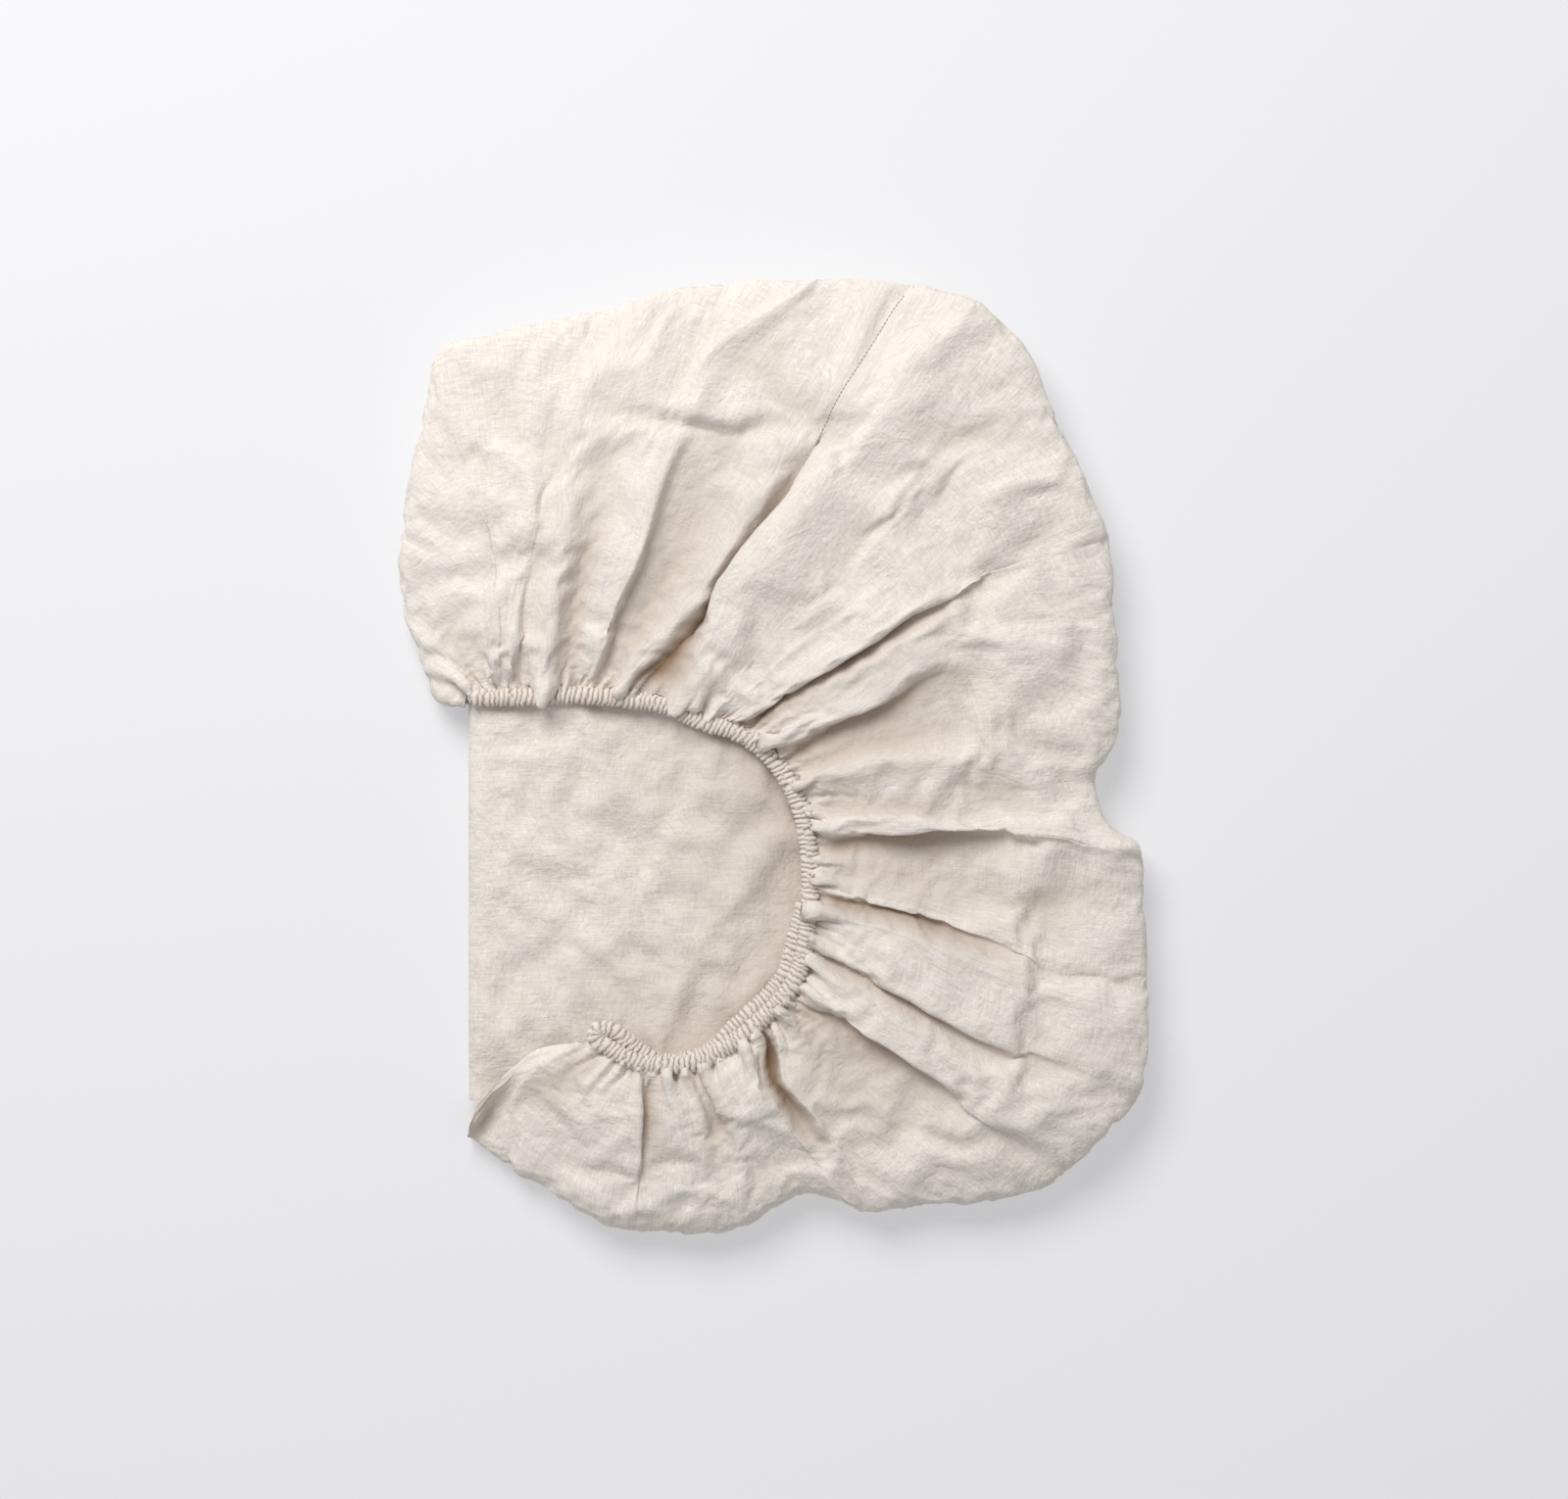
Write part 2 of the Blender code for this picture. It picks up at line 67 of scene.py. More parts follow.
@dataclass(frozen=True)
class Fold:
    """One crest, edge or valley of the pocket.

    mouth and rim are where it starts and ends along those lines, bows its sideways bends at a
    quarter, a half and three quarters, heights its heights at the mouth and further out. tuck is
    how far it lies under its neighbour, to the left of its way, and shade how deep it sits, which
    sets how much painted shade the cloth gets along it.
    """

    name: str
    mouth: float
    rim: float
    bows: tuple[float, float, float]
    heights: tuple[float, float, float, float]
    tuck: float = 0.0
    shade: float = 0.0


FOLDS = (
    Fold("left end", 0, 0, (0, 0, 0), (20, 20, 20, 18)),
    Fold("end roll", 6, 19, (0, 0, 0), (27, 28, 28, 24)),
    Fold("small fold", 13, 42, (-2, -2, -1), (33, 35, 33, 27)),
    Fold("dent", 19, 66, (-4, -5, -3), (34, 34, 32, 28), 0, 0.25),
    Fold("flank", 26, 105, (-12, -21, -16), (35, 39, 40, 35)),
    Fold("left plain", 31, 181, (-10, -16, -10), (35, 41, 43, 37)),
    Fold("left top", 34, 240, (-5, -6, -3), (35, 41, 44, 38)),
    Fold("thin ridge", 37, 304, (4, 6, 3), (35, 44, 44.4, 41.5)),
    Fold("thin ridge foot", 41, 317, (5, 7, 4), (35, 39.5, 43.6, 41.7), 0.6, 0.15),
    Fold("drop crest", 57, 344, (7, 12, 8), (36, 45, 49, 44)),
    Fold("drop foot", 68, 367, (7, 11, 7), (35, 38, 44, 43), 0, 0.4),
    Fold("gather", 76, 385, (5, 8, 4), (35, 41, 47, 44)),
    Fold("first ridge", 83, 440, (8, 19, 25), (36, 45, 52, 49)),
    Fold("first ridge foot", 88, 451, (6, 15, 16), (35, 37, 44, 45), 4.0, 0.35),
    Fold("first valley", 94, 465, (3, 9, 9), (35, 37, 41, 44), 0, 0.4),
    Fold("band", 102, 486, (-10, -9, -10), (36, 43, 49, 48)),
    Fold("seam valley", 113, 501, (-6, -5, -1), (35, 36, 40, 46), -4.0, 1.0),
    Fold("second ridge", 142, 518, (20, 12, 5), (37, 44, 52.5, 49.5)),
    Fold("second shoulder", 149, 538, (11, 10, 6), (36, 46, 57, 55)),
    Fold("broad face", 157, 574, (1, 1, 0), (36, 42, 49, 49)),
    Fold("broad face low", 163, 626, (-1, 3, 11), (36, 43, 49, 48)),
    Fold("hood", 168, 664, (-2, 0, 14), (36, 44, 50, 50)),
    Fold("hood edge", 174, 691, (2, 7, 4), (36, 44, 51, 49)),
    Fold("hood foot", 179, 702, (4, 8, 6), (35, 37, 38, 46), 8.0, 1.0),
    Fold("third ridge", 187, 730, (10, 17, 16), (36, 43, 49, 47), 0, 0.22),
    Fold("third shoulder", 194, 753, (9, 23, 17), (36, 43, 49, 46)),
    Fold("third edge", 201, 779, (11, 31, 23), (36, 44, 48, 45)),
    Fold("third foot", 209, 796, (12, 28, 19), (35, 37, 41, 43), 6.0, 0.7),
    Fold("third valley", 215, 813, (9, 13, 9), (35, 37, 40, 44), 0, 0.5),
    Fold("fourth crest", 225, 831, (6, 6, 0), (36, 43, 48, 46), 0, 0.2),
    Fold("fourth low", 232, 846, (1, -1, -4), (35, 39, 46, 41)),
    Fold("thin valley", 241, 857, (-3, -5, -3), (35, 37, 44, 42), 0, 0.35),
    Fold("fifth crest", 250, 874, (1, 1, 1), (36, 43, 49, 47)),
    Fold("fifth edge", 258, 894, (3, 5, 2), (36, 43, 50, 49)),
    Fold("fifth foot", 266, 905, (4, 6, 5), (35, 37, 38, 44.5), 7.0, 0.7),
    Fold("fifth floor", 275, 925, (0, 0, -1), (35, 38, 39, 42), 0, 0.35),
    Fold("sixth edge", 289, 965, (-1, -3, -10), (36, 42, 44, 42)),
    Fold("sixth foot", 295, 976, (3, -1, -7), (36, 38, 40, 41), 2.0, 0.8),
    Fold("sixth crest", 306, 999, (4, -1, -2), (37, 43, 49, 49)),
    Fold("seventh edge", 321, 1028, (-7, -13, -7), (38, 43, 49, 48)),
    Fold("seventh valley", 328, 1046, (-4, -7, -3), (38, 39, 42, 44), 4.0, 0.5),
    Fold("eighth crest", 338, 1068, (-1, -6, -4), (38, 44, 49, 48)),
    Fold("eighth edge", 351, 1090, (-2, -2, 1), (39, 44, 49, 44)),
    Fold("eighth foot", 360, 1110, (1, 2, 2), (38, 38, 38, 37), 7.0, 0.55),
    Fold("low floor", 368, 1157, (-2, -1, 0), (39, 40, 40, 37), 0, 0.34),
    Fold("low face", 375, 1197, (-7, -7, -4), (39, 42, 44, 39), 0, 0.18),
    Fold("slit right lip", 378, 1219, (-7, -2, 2), (39, 43, 45, 40)),
    Fold("slit floor", 384, 1227, (-8, -4, 0), (38, 37, 36, 36), 0, 1.0),
    Fold("slit left lip", 391, 1236, (-8, -6, -2), (40, 43, 45, 39)),
    Fold("ninth puff", 399, 1263, (-2, -3, -2), (41, 45, 46, 38)),
    Fold("tenth ridge", 418, 1292, (3, 4, 2), (42, 45, 45, 37)),
    Fold("tenth foot", 430, 1311, (7, 8, 4), (42, 41, 39, 35), 0, 0.3),
    Fold("tongue right", 440, 1330, (7, 8, 5), (42, 43, 43, 36)),
    Fold("tongue left", 449, 1346, (2, 2, 1), (42, 44, 44, 36)),
    Fold("pleat foot", 458, 1360, (0, -1, -1), (42, 41, 39, 34), -2.5, 0.5),
    Fold("pleat crest", 464, 1372, (3, 4, 2), (42, 45, 45, 36)),
    Fold("low flank", 472, 1403, (-2, -4, -4), (41, 43, 43, 34)),
    Fold("diagonal ridge", 483, 1437, (-1, -3, -4), (40, 42, 41, 31)),
    Fold("diagonal shade", 491, 1453, (-2, -11, -9), (38, 38, 36, 27), 0, 0.35),
    Fold("flap edge start", 502, 1463, (-7, -10, -7), (37, 39, 37, 25)),
    Fold("flap edge", 520, 1469, (-5, -4, -2), (34, 36, 33, 21)),
    Fold("flap edge low", 544, 1475, (0, 0, 0), (32, 33, 30, 18)),
    Fold("flap edge tip", 570, 1477, (0, 0, 0), (30, 30, 28, 19)),
    Fold("flap corner", 590, 1479, (0, 0, 0), (26, 26, 25, 19)),
)

# The mouth's edge, clockwise from the casing's left end to the flap's corner
MOUTH = (
    (-183.5, 33), (-183, 38), (-178, 42), (-165, 42.5), (-142, 43), (-119, 44), (-100, 43), (-78, 41),
    (-58, 37), (-38, 28), (-18, 22), (-1, 11), (12, -4), (23, -26), (28, -50), (29, -77), (28, -97),
    (24, -120), (15, -139), (-1, -156), (-17, -169), (-38, -181), (-61, -185), (-84, -181),
    (-105, -169), (-113, -166), (-136, -170), (-156, -185), (-170, -201), (-177, -215),
)

# The pocket's widest line seen from above
RIM = (
    (-187, 32), (-201, 42), (-208, 60), (-219, 101), (-219, 124), (-211, 170), (-205, 199),
    (-196, 236), (-179, 246), (-136, 254), (-90, 265), (-55, 275), (-15, 279), (37, 280), (78, 276),
    (114, 267), (131, 254), (152, 229), (172, 184), (183, 156), (195, 127), (201, 87), (203, 43),
    (202, 12), (190, -12), (200, -37), (218, -53), (219, -95), (220, -129), (218, -189), (198, -215),
    (160, -249), (123, -258), (83, -264), (57, -267), (37, -260), (19, -256), (2, -265), (-24, -276),
    (-67, -280), (-96, -272), (-130, -255), (-165, -234), (-179, -224),
)

# The stack's right edge by the share of the way from front to back, and its other edges by x
STACK_RIGHT = (
    (0, 168), (0.1, 186), (0.2, 195), (0.35, 194), (0.45, 166), (0.55, 178), (0.7, 172), (0.8, 158),
    (0.9, 138), (1, 112),
)
STACK_FRONT = (
    (-180, -201), (-165, -204), (-130, -219), (-100, -232), (-50, -242), (20, -230), (80, -238),
    (130, -226), (170, -200),
)
STACK_BACK = ((-180, 215), (-120, 228), (-60, 246), (0, 254), (70, 250), (112, 238), (150, 196))


def ramp(value: Array, zero_at: float, one_at: float) -> Array:
    """Return 0 where a value is at one mark and 1 at the other, level outside them."""
    return np.clip((value - zero_at) / (one_at - zero_at), 0, 1)


def bell(value: Array, width: float, power: float = 2.0) -> Array:
    """Return 1 at zero, and about a third at one width away from it."""
    return np.exp(-((value / width) ** power))


def unit(vectors: Array) -> Array:
    """Return vectors brought to a length of one."""
    return vectors / np.maximum(np.linalg.norm(vectors, axis=-1, keepdims=True), 1e-9)


def averaged(values: Array, places: Array, width: float) -> Array:
    """Return values, one a place in their last axis, averaged with those within about a width."""
    near = bell(places[:, None] - places, width)
    return values @ near / near.sum(axis=0)


def through_controls(controls: Array, stations: Array) -> Array:
    """Follow a smooth curve through controls.

    Args:
        controls: An array (controls, columns, axes).
        stations: Fractional control numbers.

    Returns:
        An array (stations, columns, axes).
    """
    ends = 2 * controls[:1] - controls[1:2], 2 * controls[-1:] - controls[-2:-1]
    padded = np.concatenate([ends[0], controls, ends[1]])
    start = np.minimum(stations.astype(int), len(controls) - 2)
    share = (stations - start)[:, None, None]
    before, here, there, after = (padded[start + shift] for shift in range(4))
    bend = 2 * before - 5 * here + 4 * there - after
    twist = 3 * here - before - 3 * there + after
    return here + 0.5 * ((there - before) * share + bend * share**2 + twist * share**3)


def smooth_line(points: Sequence[Sequence[float]], steps: int = 16) -> Array:
    """Return a smooth curve through points, one row a point, with steps rows to each span."""
    knots = np.asarray(points, float)[:, None]
    return through_controls(knots, np.arange((len(knots) - 1) * steps + 1) / steps)[:, 0]


def lengths_along(points: Array, axis: int = 0) -> Array:
    """Return each point's distance from the first point, along the lines that an axis counts."""
    steps = np.diff(points, axis=axis, prepend=np.take(points, [0], axis))
    return np.linalg.norm(steps, axis=-1).cumsum(axis=axis)


def place_along(line: Array, distance: Array) -> Array:
    """Return the points of a line at the given distances along it."""
    reach = lengths_along(line)
    return np.stack([np.interp(distance, reach, axis) for axis in line.T], -1)


def steady_curve(places: Sequence[float], values: Sequence[float], where: Array) -> Array:
    """Interpolate with a cubic that never swings past the values it passes through.

    Args:
        places: Where the values stand, rising.
        values: The values.
        where: Where to read them.

    Returns:
        The values read.
    """
    places, values = np.asarray(places, float), np.asarray(values, float)
    gaps = np.diff(places)
    slopes = np.diff(values) / gaps
    tangents = np.zeros(len(places))
    same_way = slopes[:-1] * slopes[1:] > 0
    weight_a = 2 * gaps[1:] + gaps[:-1]
    weight_b = gaps[1:] + 2 * gaps[:-1]
    safe_a = np.where(same_way, slopes[:-1], 1)
    safe_b = np.where(same_way, slopes[1:], 1)
    blend = (weight_a + weight_b) / (weight_a / safe_a + weight_b / safe_b)
    tangents[1:-1] = np.where(same_way, blend, 0)
    tangents[0], tangents[-1] = slopes[0], slopes[-1]
    where = np.clip(where, places[0], places[-1])
    span = np.clip(np.searchsorted(places, where, side="right") - 1, 0, len(gaps) - 1)
    share = (where - places[span]) / gaps[span]
    rise = slopes[span] * gaps[span]
    start, end = tangents[span] * gaps[span], tangents[span + 1] * gaps[span]
    bend = (3 * rise - 2 * start - end) * share**2
    return values[span] + start * share + bend + (start + end - 2 * rise) * share**3


@dataclass(frozen=True)
class Crumple:
    """Smooth seeded noise over a plane, and the creases made from it."""

    seed: int
    size: int = 256
    softness: float = 0.004
    middle: float = 0.33

    def noise(self, x: Array, y: Array) -> Array:
        """Return smooth noise between about -1 and 1, with features about one unit across."""
        x, y = np.broadcast_arrays(np.asarray(x, float), np.asarray(y, float))
        angles = np.random.default_rng(self.seed).uniform(0, 2 * math.pi, (self.size, self.size))
        column, row = np.floor(x).astype(int), np.floor(y).astype(int)
        part_x, part_y = x - column, y - row
        soft_x = part_x**3 * (part_x * (6 * part_x - 15) + 10)
        soft_y = part_y**3 * (part_y * (6 * part_y - 15) + 10)

        def corner(step_x: int, step_y: int) -> Array:
            """Return one corner's pull on the point."""
            angle = angles[(column + step_x) % self.size, (row + step_y) % self.size]
            return np.cos(angle) * (part_x - step_x) + np.sin(angle) * (part_y - step_y)

        low = corner(0, 0) * (1 - soft_x) + corner(1, 0) * soft_x
        high = corner(0, 1) * (1 - soft_x) + corner(1, 1) * soft_x
        return 1.5 * (low * (1 - soft_y) + high * soft_y)

    def folded(self, x: Array, y: Array, softness: float) -> Array:
        """Return noise folded up at zero into valleys, the sharper the lower their softness."""
        return np.sqrt(self.noise(x, y) ** 2 + softness)

    def creased(self, x: Array, y: Array) -> Array:
        """Return noise folded into soft crests and sharp valleys, centred on zero."""
        return self.folded(x, y, self.softness) - self.middle


class Maths:
    """A shader socket or number that adds maths nodes when it is used in an expression."""

    def __init__(self, nodes: "Nodes", value: Any) -> None:
        """Wrap a socket or a number."""
        self.nodes = nodes
        self.value = value

    def _with(self, operation: str, *others: Any) -> "Maths":
        """Add one Math node on this value and others."""
        values = [self.value] + [other.value if isinstance(other, Maths) else other for other in others]
        node = self.nodes.add("ShaderNodeMath", {"operation": operation}, dict(enumerate(values)))
        return Maths(self.nodes, node.outputs[0])

    def __add__(self, other: Any) -> "Maths":
        """Return the sum."""
        return self._with("ADD", other)

    def __mul__(self, other: Any) -> "Maths":
        """Return the product."""
        return self._with("MULTIPLY", other)

    def __sub__(self, other: Any) -> "Maths":
        """Return the difference."""
        return self._with("SUBTRACT", other)

    def __rsub__(self, other: Any) -> "Maths":
        """Return a number less this value."""
        return Maths(self.nodes, other)._with("SUBTRACT", self)

    __radd__ = __add__
    __rmul__ = __mul__

    def size(self) -> "Maths":
        """Return the value without its sign."""
        return self._with("ABSOLUTE")

    def clipped(self) -> "Maths":
        """Return the value held between 0 and 1."""
        return self._with("MINIMUM", 1.0)._with("MAXIMUM", 0.0)


class Nodes:
    """One material's node tree, and the ways of adding to it."""

    def __init__(self, name: str) -> None:
        """Start a material with its Principled shader."""
        self.material = bpy.data.materials.new(name)
        self.material.use_nodes = True
        self.tree = self.material.node_tree
        self.shader = self.tree.nodes["Principled BSDF"]

    def add(self, kind: str, settings: dict[str, Any], inputs: dict[Any, Any]) -> Node:
        """Add a node.

        Args:
            kind: The node's type.
            settings: Its own settings, set first.
            inputs: Values or links by the socket's name or number.

        Returns:
            The node.
        """
        node = self.tree.nodes.new(kind)
        for name, value in settings.items():
            setattr(node, name, value)
        self.feed(node, inputs)
        return node

    def feed(self, node: Node, inputs: dict[Any, Any]) -> None:
        """Set a node's sockets to values, or link them."""
        for key, value in inputs.items():
            value = value.value if isinstance(value, Maths) else value
            if isinstance(value, NodeSocket):
                self.tree.links.new(value, node.inputs[key])
            else:
                node.inputs[key].default_value = value

    def finished(self, inputs: dict[str, Any]) -> Material:
        """Feed the shader and return the material."""
        self.feed(self.shader, inputs)
        return self.material

    def weave(self) -> NodeSocket:
        """Read the cloth's own thread coordinates."""
        return self.add("ShaderNodeUVMap", {"uv_map": "weave"}, {}).outputs["UV"]

    def place(self) -> NodeSocket:
        """Read the place on the object."""
        return self.add("ShaderNodeTexCoord", {}, {}).outputs["Object"]

    def point(self, attribute: str) -> Maths:
        """Read a number stored at the cloth's points."""
        node = self.add("ShaderNodeAttribute", {"attribute_name": attribute}, {})
        return Maths(self, node.outputs["Fac"])

    def noise(self, vector: NodeSocket, scale: float, detail: float = 2.0, rough: float = 0.5) -> Maths:
        """Read a noise texture's value, between 0 and 1."""
        inputs = {"Vector": vector, "Scale": scale, "Detail": detail, "Roughness": rough}
        return Maths(self, self.add("ShaderNodeTexNoise", {}, inputs).outputs["Fac"])

    def fibres(
        self, weave: NodeSocket, across: float, along: float,
        scale: float = 1.0, detail: float = 1.0,
    ) -> Maths:
        """Read noise that is drawn out along the threads.

        Args:
            weave: The thread coordinates.
            across: Features a metre over the first coordinate.
            along: Features a metre over the second one.
            scale: How much finer the noise is than that.
            detail: The noise's detail.

        Returns:
            The noise, between 0 and 1.
        """
        stretched = self.add("ShaderNodeMapping", {}, {"Vector": weave, "Scale": (across, along, 1)})
        return self.noise(stretched.outputs["Vector"], scale, detail)

    def mixed(self, share: Any, first: Any, second: Any) -> NodeSocket:
        """Mix two colours."""
        node = self.add("ShaderNodeMix", {"data_type": "RGBA"}, {0: share, 6: first, 7: second})
        return node.outputs[2]

    def raised(self, height: Maths, distance: float, normal: Any = None) -> NodeSocket:
        """Raise the surface by a height, as bump."""
        inputs = {"Height": height, "Distance": distance, "Strength": 1.0}
        if normal is not None:
            inputs["Normal"] = normal
        return self.add("ShaderNodeBump", {}, inputs).outputs["Normal"]


Colour = tuple[float, float, float, float]
CLOTH_SHINE = {"Roughness": 0.9, "Specular IOR Level": 0.2, "Sheen Weight": 0.12}


@dataclass(frozen=True)
class LinenFinish:
    """Washed natural linen in plain weave, with slubs and small creases, and painted shade where it lies
    deep. Lengths are in metres.
    """

    name: str = "washed natural linen"
    light: Colour = (0.862, 0.806, 0.757, 1.0)
    dark: Colour = (0.705, 0.645, 0.585, 1.0)
    slub: Colour = (0.90, 0.87, 0.82, 1.0)
    # Painted shade: a grey-tan for shaded folds and a dark brown for the deepest crevices
    shade: Colour = (0.60, 0.52, 0.445, 1.0)
    painted_recess_shade: Colour = (0.30, 0.185, 0.105, 1.0)
    thread: float = 0.00072
    thread_height: float = 0.00022
    slub_length: float = 0.011
    knot_length: float = 1 / 130
    knots_from: float = 0.69
    crease_depth: float = 0.0015
    crease_bend: float = 0.03
    creases: tuple[tuple[float, float, float], ...] = (
        (34.0, 0.45, 1.4), (78.0, 0.5, 1.15), (190.0, 0.5, 0.6),
    )
    thread_tone: float = 3.4
    slub_tone: float = 0.9
    mottle_tone: float = 0.6
    middle_tone: float = 0.42

    def make(self) -> Material:
        """Build the material on the cloth's own thread coordinates."""
        nodes = Nodes(self.name)
        weave, place = nodes.weave(), nodes.place()
        across, along, knotted = 1 / self.thread, 1 / self.slub_length, 1 / self.knot_length
        warp = nodes.fibres(weave, across, along, 0.9, 2.0)
        weft = nodes.fibres(weave, along, across, 0.9, 2.0)
        slubs = nodes.fibres(weave, across * 0.35, along * 0.6)
        bars = nodes.fibres(weave, along * 0.5, across * 0.3)
        mottle = nodes.noise(place, 26.0, 3.0, 0.6)
        threads = warp * 0.5 + weft * 0.5
        tone = (threads - 0.5) * self.thread_tone + (slubs - 0.5) * self.slub_tone
        tone = tone + (bars - 0.5) * self.slub_tone + (mottle - 0.5) * self.mottle_tone + self.middle_tone
        plain = nodes.mixed(tone.clipped(), self.light, self.dark)
        thick = nodes.fibres(weave, across * 0.7, knotted, detail=0.0)
        thick_weft = nodes.fibres(weave, knotted, across * 0.7, detail=0.0)
        knots, weft_knots = (((noise - self.knots_from) * 12).clipped() for noise in (thick, thick_weft))
        cloth = nodes.mixed(((knots + weft_knots) * 0.8).clipped(), plain, self.slub)
        # Painted shade: the colour turns tan, then dark brown, as the stored depth rises in creases, tucks
        # and hollows
        deep = nodes.point("painted_recess_shade")
        shaded = nodes.mixed((deep * 2).clipped(), cloth, self.shade)
        colour = nodes.mixed((deep * 2 - 1).clipped(), shaded, self.painted_recess_shade)
        crumpled = nodes.raised(self.crumple(nodes, place), self.crease_depth)
        normal = nodes.raised(threads + slubs * 0.6 + bars * 0.6, self.thread_height, crumpled)
        shine = {**CLOTH_SHINE, "Sheen Roughness": 0.6}
        return nodes.finished({"Base Color": colour, "Normal": normal, **shine})

    def crumple(self, nodes: Nodes, place: NodeSocket) -> Maths:
        """Return the height of the cloth's small crumple."""
        bend = nodes.add("ShaderNodeTexNoise", {}, {"Vector": place, "Scale": 14.0, "Detail": 1.0})
        bent = {0: bend.outputs["Color"], 1: (self.crease_bend,) * 3, 2: place}
        warped = nodes.add("ShaderNodeVectorMath", {"operation": "MULTIPLY_ADD"}, bent).outputs[0]
        sizes = [
            (nodes.noise(warped, scale, 2.0, rough) - 0.5).size() * height
            for scale, rough, height in self.creases
        ]
        return sizes[0] + sizes[1] + sizes[2]


@dataclass(frozen=True)
class CasingFinish:
    """The same linen, ruched into tight pleats over the elastic, with painted shade in the grooves between
    its pleats. Lengths are in metres.
    """

    name: str = "ruched linen"
    crest: Colour = (0.86, 0.79, 0.72, 1.0)
    # Painted shade: the dark brown put in the grooves between pleats
    groove: Colour = (0.27, 0.19, 0.13, 1.0)
    thread: float = 0.00058
    thread_run: float = 1 / 60
    thread_height: float = 0.00025

    def make(self) -> Material:
        """Build the material on the casing's own coordinates."""
        nodes = Nodes(self.name)
        weave, across, along = nodes.weave(), 1 / self.thread, 1 / self.thread_run
        warp, weft = nodes.fibres(weave, across, along), nodes.fibres(weave, along, across)
        # Painted shade in the grooves, with a little of the warp threads' own tone mixed in
        deep = (nodes.point("painted_recess_shade") + (warp - 0.5) * 0.25).clipped()
        colour = nodes.mixed(deep, self.crest, self.groove)
        normal = nodes.raised(warp + weft, self.thread_height)
        return nodes.finished({"Base Color": colour, "Normal": normal, **CLOTH_SHINE})


@dataclass(frozen=True)
class ThreadFinish:
    """Grey-beige sewing thread."""

    name: str = "sewing thread"
    colour: Colour = (0.25, 0.21, 0.17, 1.0)
    paler: float = 1.5

    def make(self) -> Material:
        """Build the material."""
        nodes = Nodes(self.name)
        twist = nodes.noise(nodes.place(), 900.0, 1.0)
        pale = tuple(min(1.0, self.paler * part) for part in self.colour[:3]) + (1.0,)
        return nodes.finished({"Base Color": nodes.mixed(twist, self.colour, pale), "Roughness": 0.8})


@dataclass(frozen=True)
class FloorFinish:
    """A plain pale floor, with an even glow that keeps its shadows pale."""

    name: str = "pale floor"
    colour: Colour = (0.49, 0.492, 0.504, 1.0)
    glow_colour: Colour = (1.0, 1.0, 1.03, 1.0)
    glow: float = 0.36

    def make(self) -> Material:
        """Build the material."""
        return Nodes(self.name).finished({
            "Base Color": self.colour, "Emission Color": self.glow_colour, "Emission Strength": self.glow,
            "Roughness": 0.95, "Specular IOR Level": 0.0,
        })


def to_mesh(name: str, shape: BMesh) -> Mesh:
    """Make a mesh of a shape, and free the shape."""
    mesh = bpy.data.meshes.new(name)
    shape.to_mesh(mesh)
    shape.free()
    return mesh


def placed(name: str, data: bpy.types.ID) -> Object:
    """Add an object to the scene."""
    made = bpy.data.objects.new(name, data)
    bpy.context.scene.collection.objects.link(made)
    return made


def mesh_points(mesh: Mesh) -> Array:
    """Return a mesh's points, one row a point."""
    flat = np.empty(len(mesh.vertices) * 3)
    mesh.vertices.foreach_get("co", flat)
    return flat.reshape(-1, 3)


def plain_grid(surface: Array) -> tuple[Mesh, Array, Array]:
    """Make a grid in the form of a surface.

    Args:
        surface: An array (rows, columns, 3) in millimetres.

    Returns:
        The mesh, and the row and column of each of its points.
    """
    rows, columns = surface.shape[:2]
    grid = bmesh.new()
    bmesh.ops.create_grid(grid, x_segments=columns - 1, y_segments=rows - 1, size=0.5)
    mesh = to_mesh("cloth", grid)
    flat = mesh_points(mesh)
    column = np.rint((flat[:, 0] + 0.5) * (columns - 1)).astype(int)
    row = np.rint((flat[:, 1] + 0.5) * (rows - 1)).astype(int)
    mesh.vertices.foreach_set("co", (surface[row, column] * MM).ravel())
    return mesh, row, column


def cloth_grid(surface: Array, threads: Array, painted_recess_shade: Array) -> Mesh:
    """Form a grid of cloth into a surface.

    Args:
        surface: An array (rows, columns, 3) in millimetres.
        threads: The cloth's own coordinates, an array (rows, columns, 2) in millimetres.
        painted_recess_shade: How much painted shade each point gets, from 0 to 1, where the cloth lies
            deep.

    Returns:
        The mesh, with its weave map and its attribute of painted shade.
    """
    mesh, row, column = plain_grid(surface)
    corner = np.empty(len(mesh.loops), dtype=np.int32)
    mesh.loops.foreach_get("vertex_index", corner)
    weave = mesh.uv_layers.new(name="weave")
    weave.data.foreach_set("uv", (threads[row, column][corner] * MM).ravel())
    # Painted shade, kept at each point so the finish can darken the colour
    depth = mesh.attributes.new("painted_recess_shade", "FLOAT", "POINT")
    depth.data.foreach_set("value", painted_recess_shade[row, column])
    mesh.update()
    return mesh


def pushed(surface: Array, push: Any) -> Array:
    """Push the points of a surface out along its normals."""
    normals = unit(np.cross(np.gradient(surface, axis=1), np.gradient(surface, axis=0)))
    return surface + np.asarray(push)[..., None] * normals


def piece(name: str, mesh: Mesh, material: Material) -> Object:
    """Add a finished piece to the scene, dress it and let it ride with the part.

    Args:
        name: The piece's name.
        mesh: Its mesh, in place.
        material: Its material.

    Returns:
        The piece.
    """
    mesh.materials.clear()
    mesh.materials.append(material)
    mesh.shade_smooth()
    mesh.name = name
    made = placed(name, mesh)
    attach(made, ROOT)
    return made


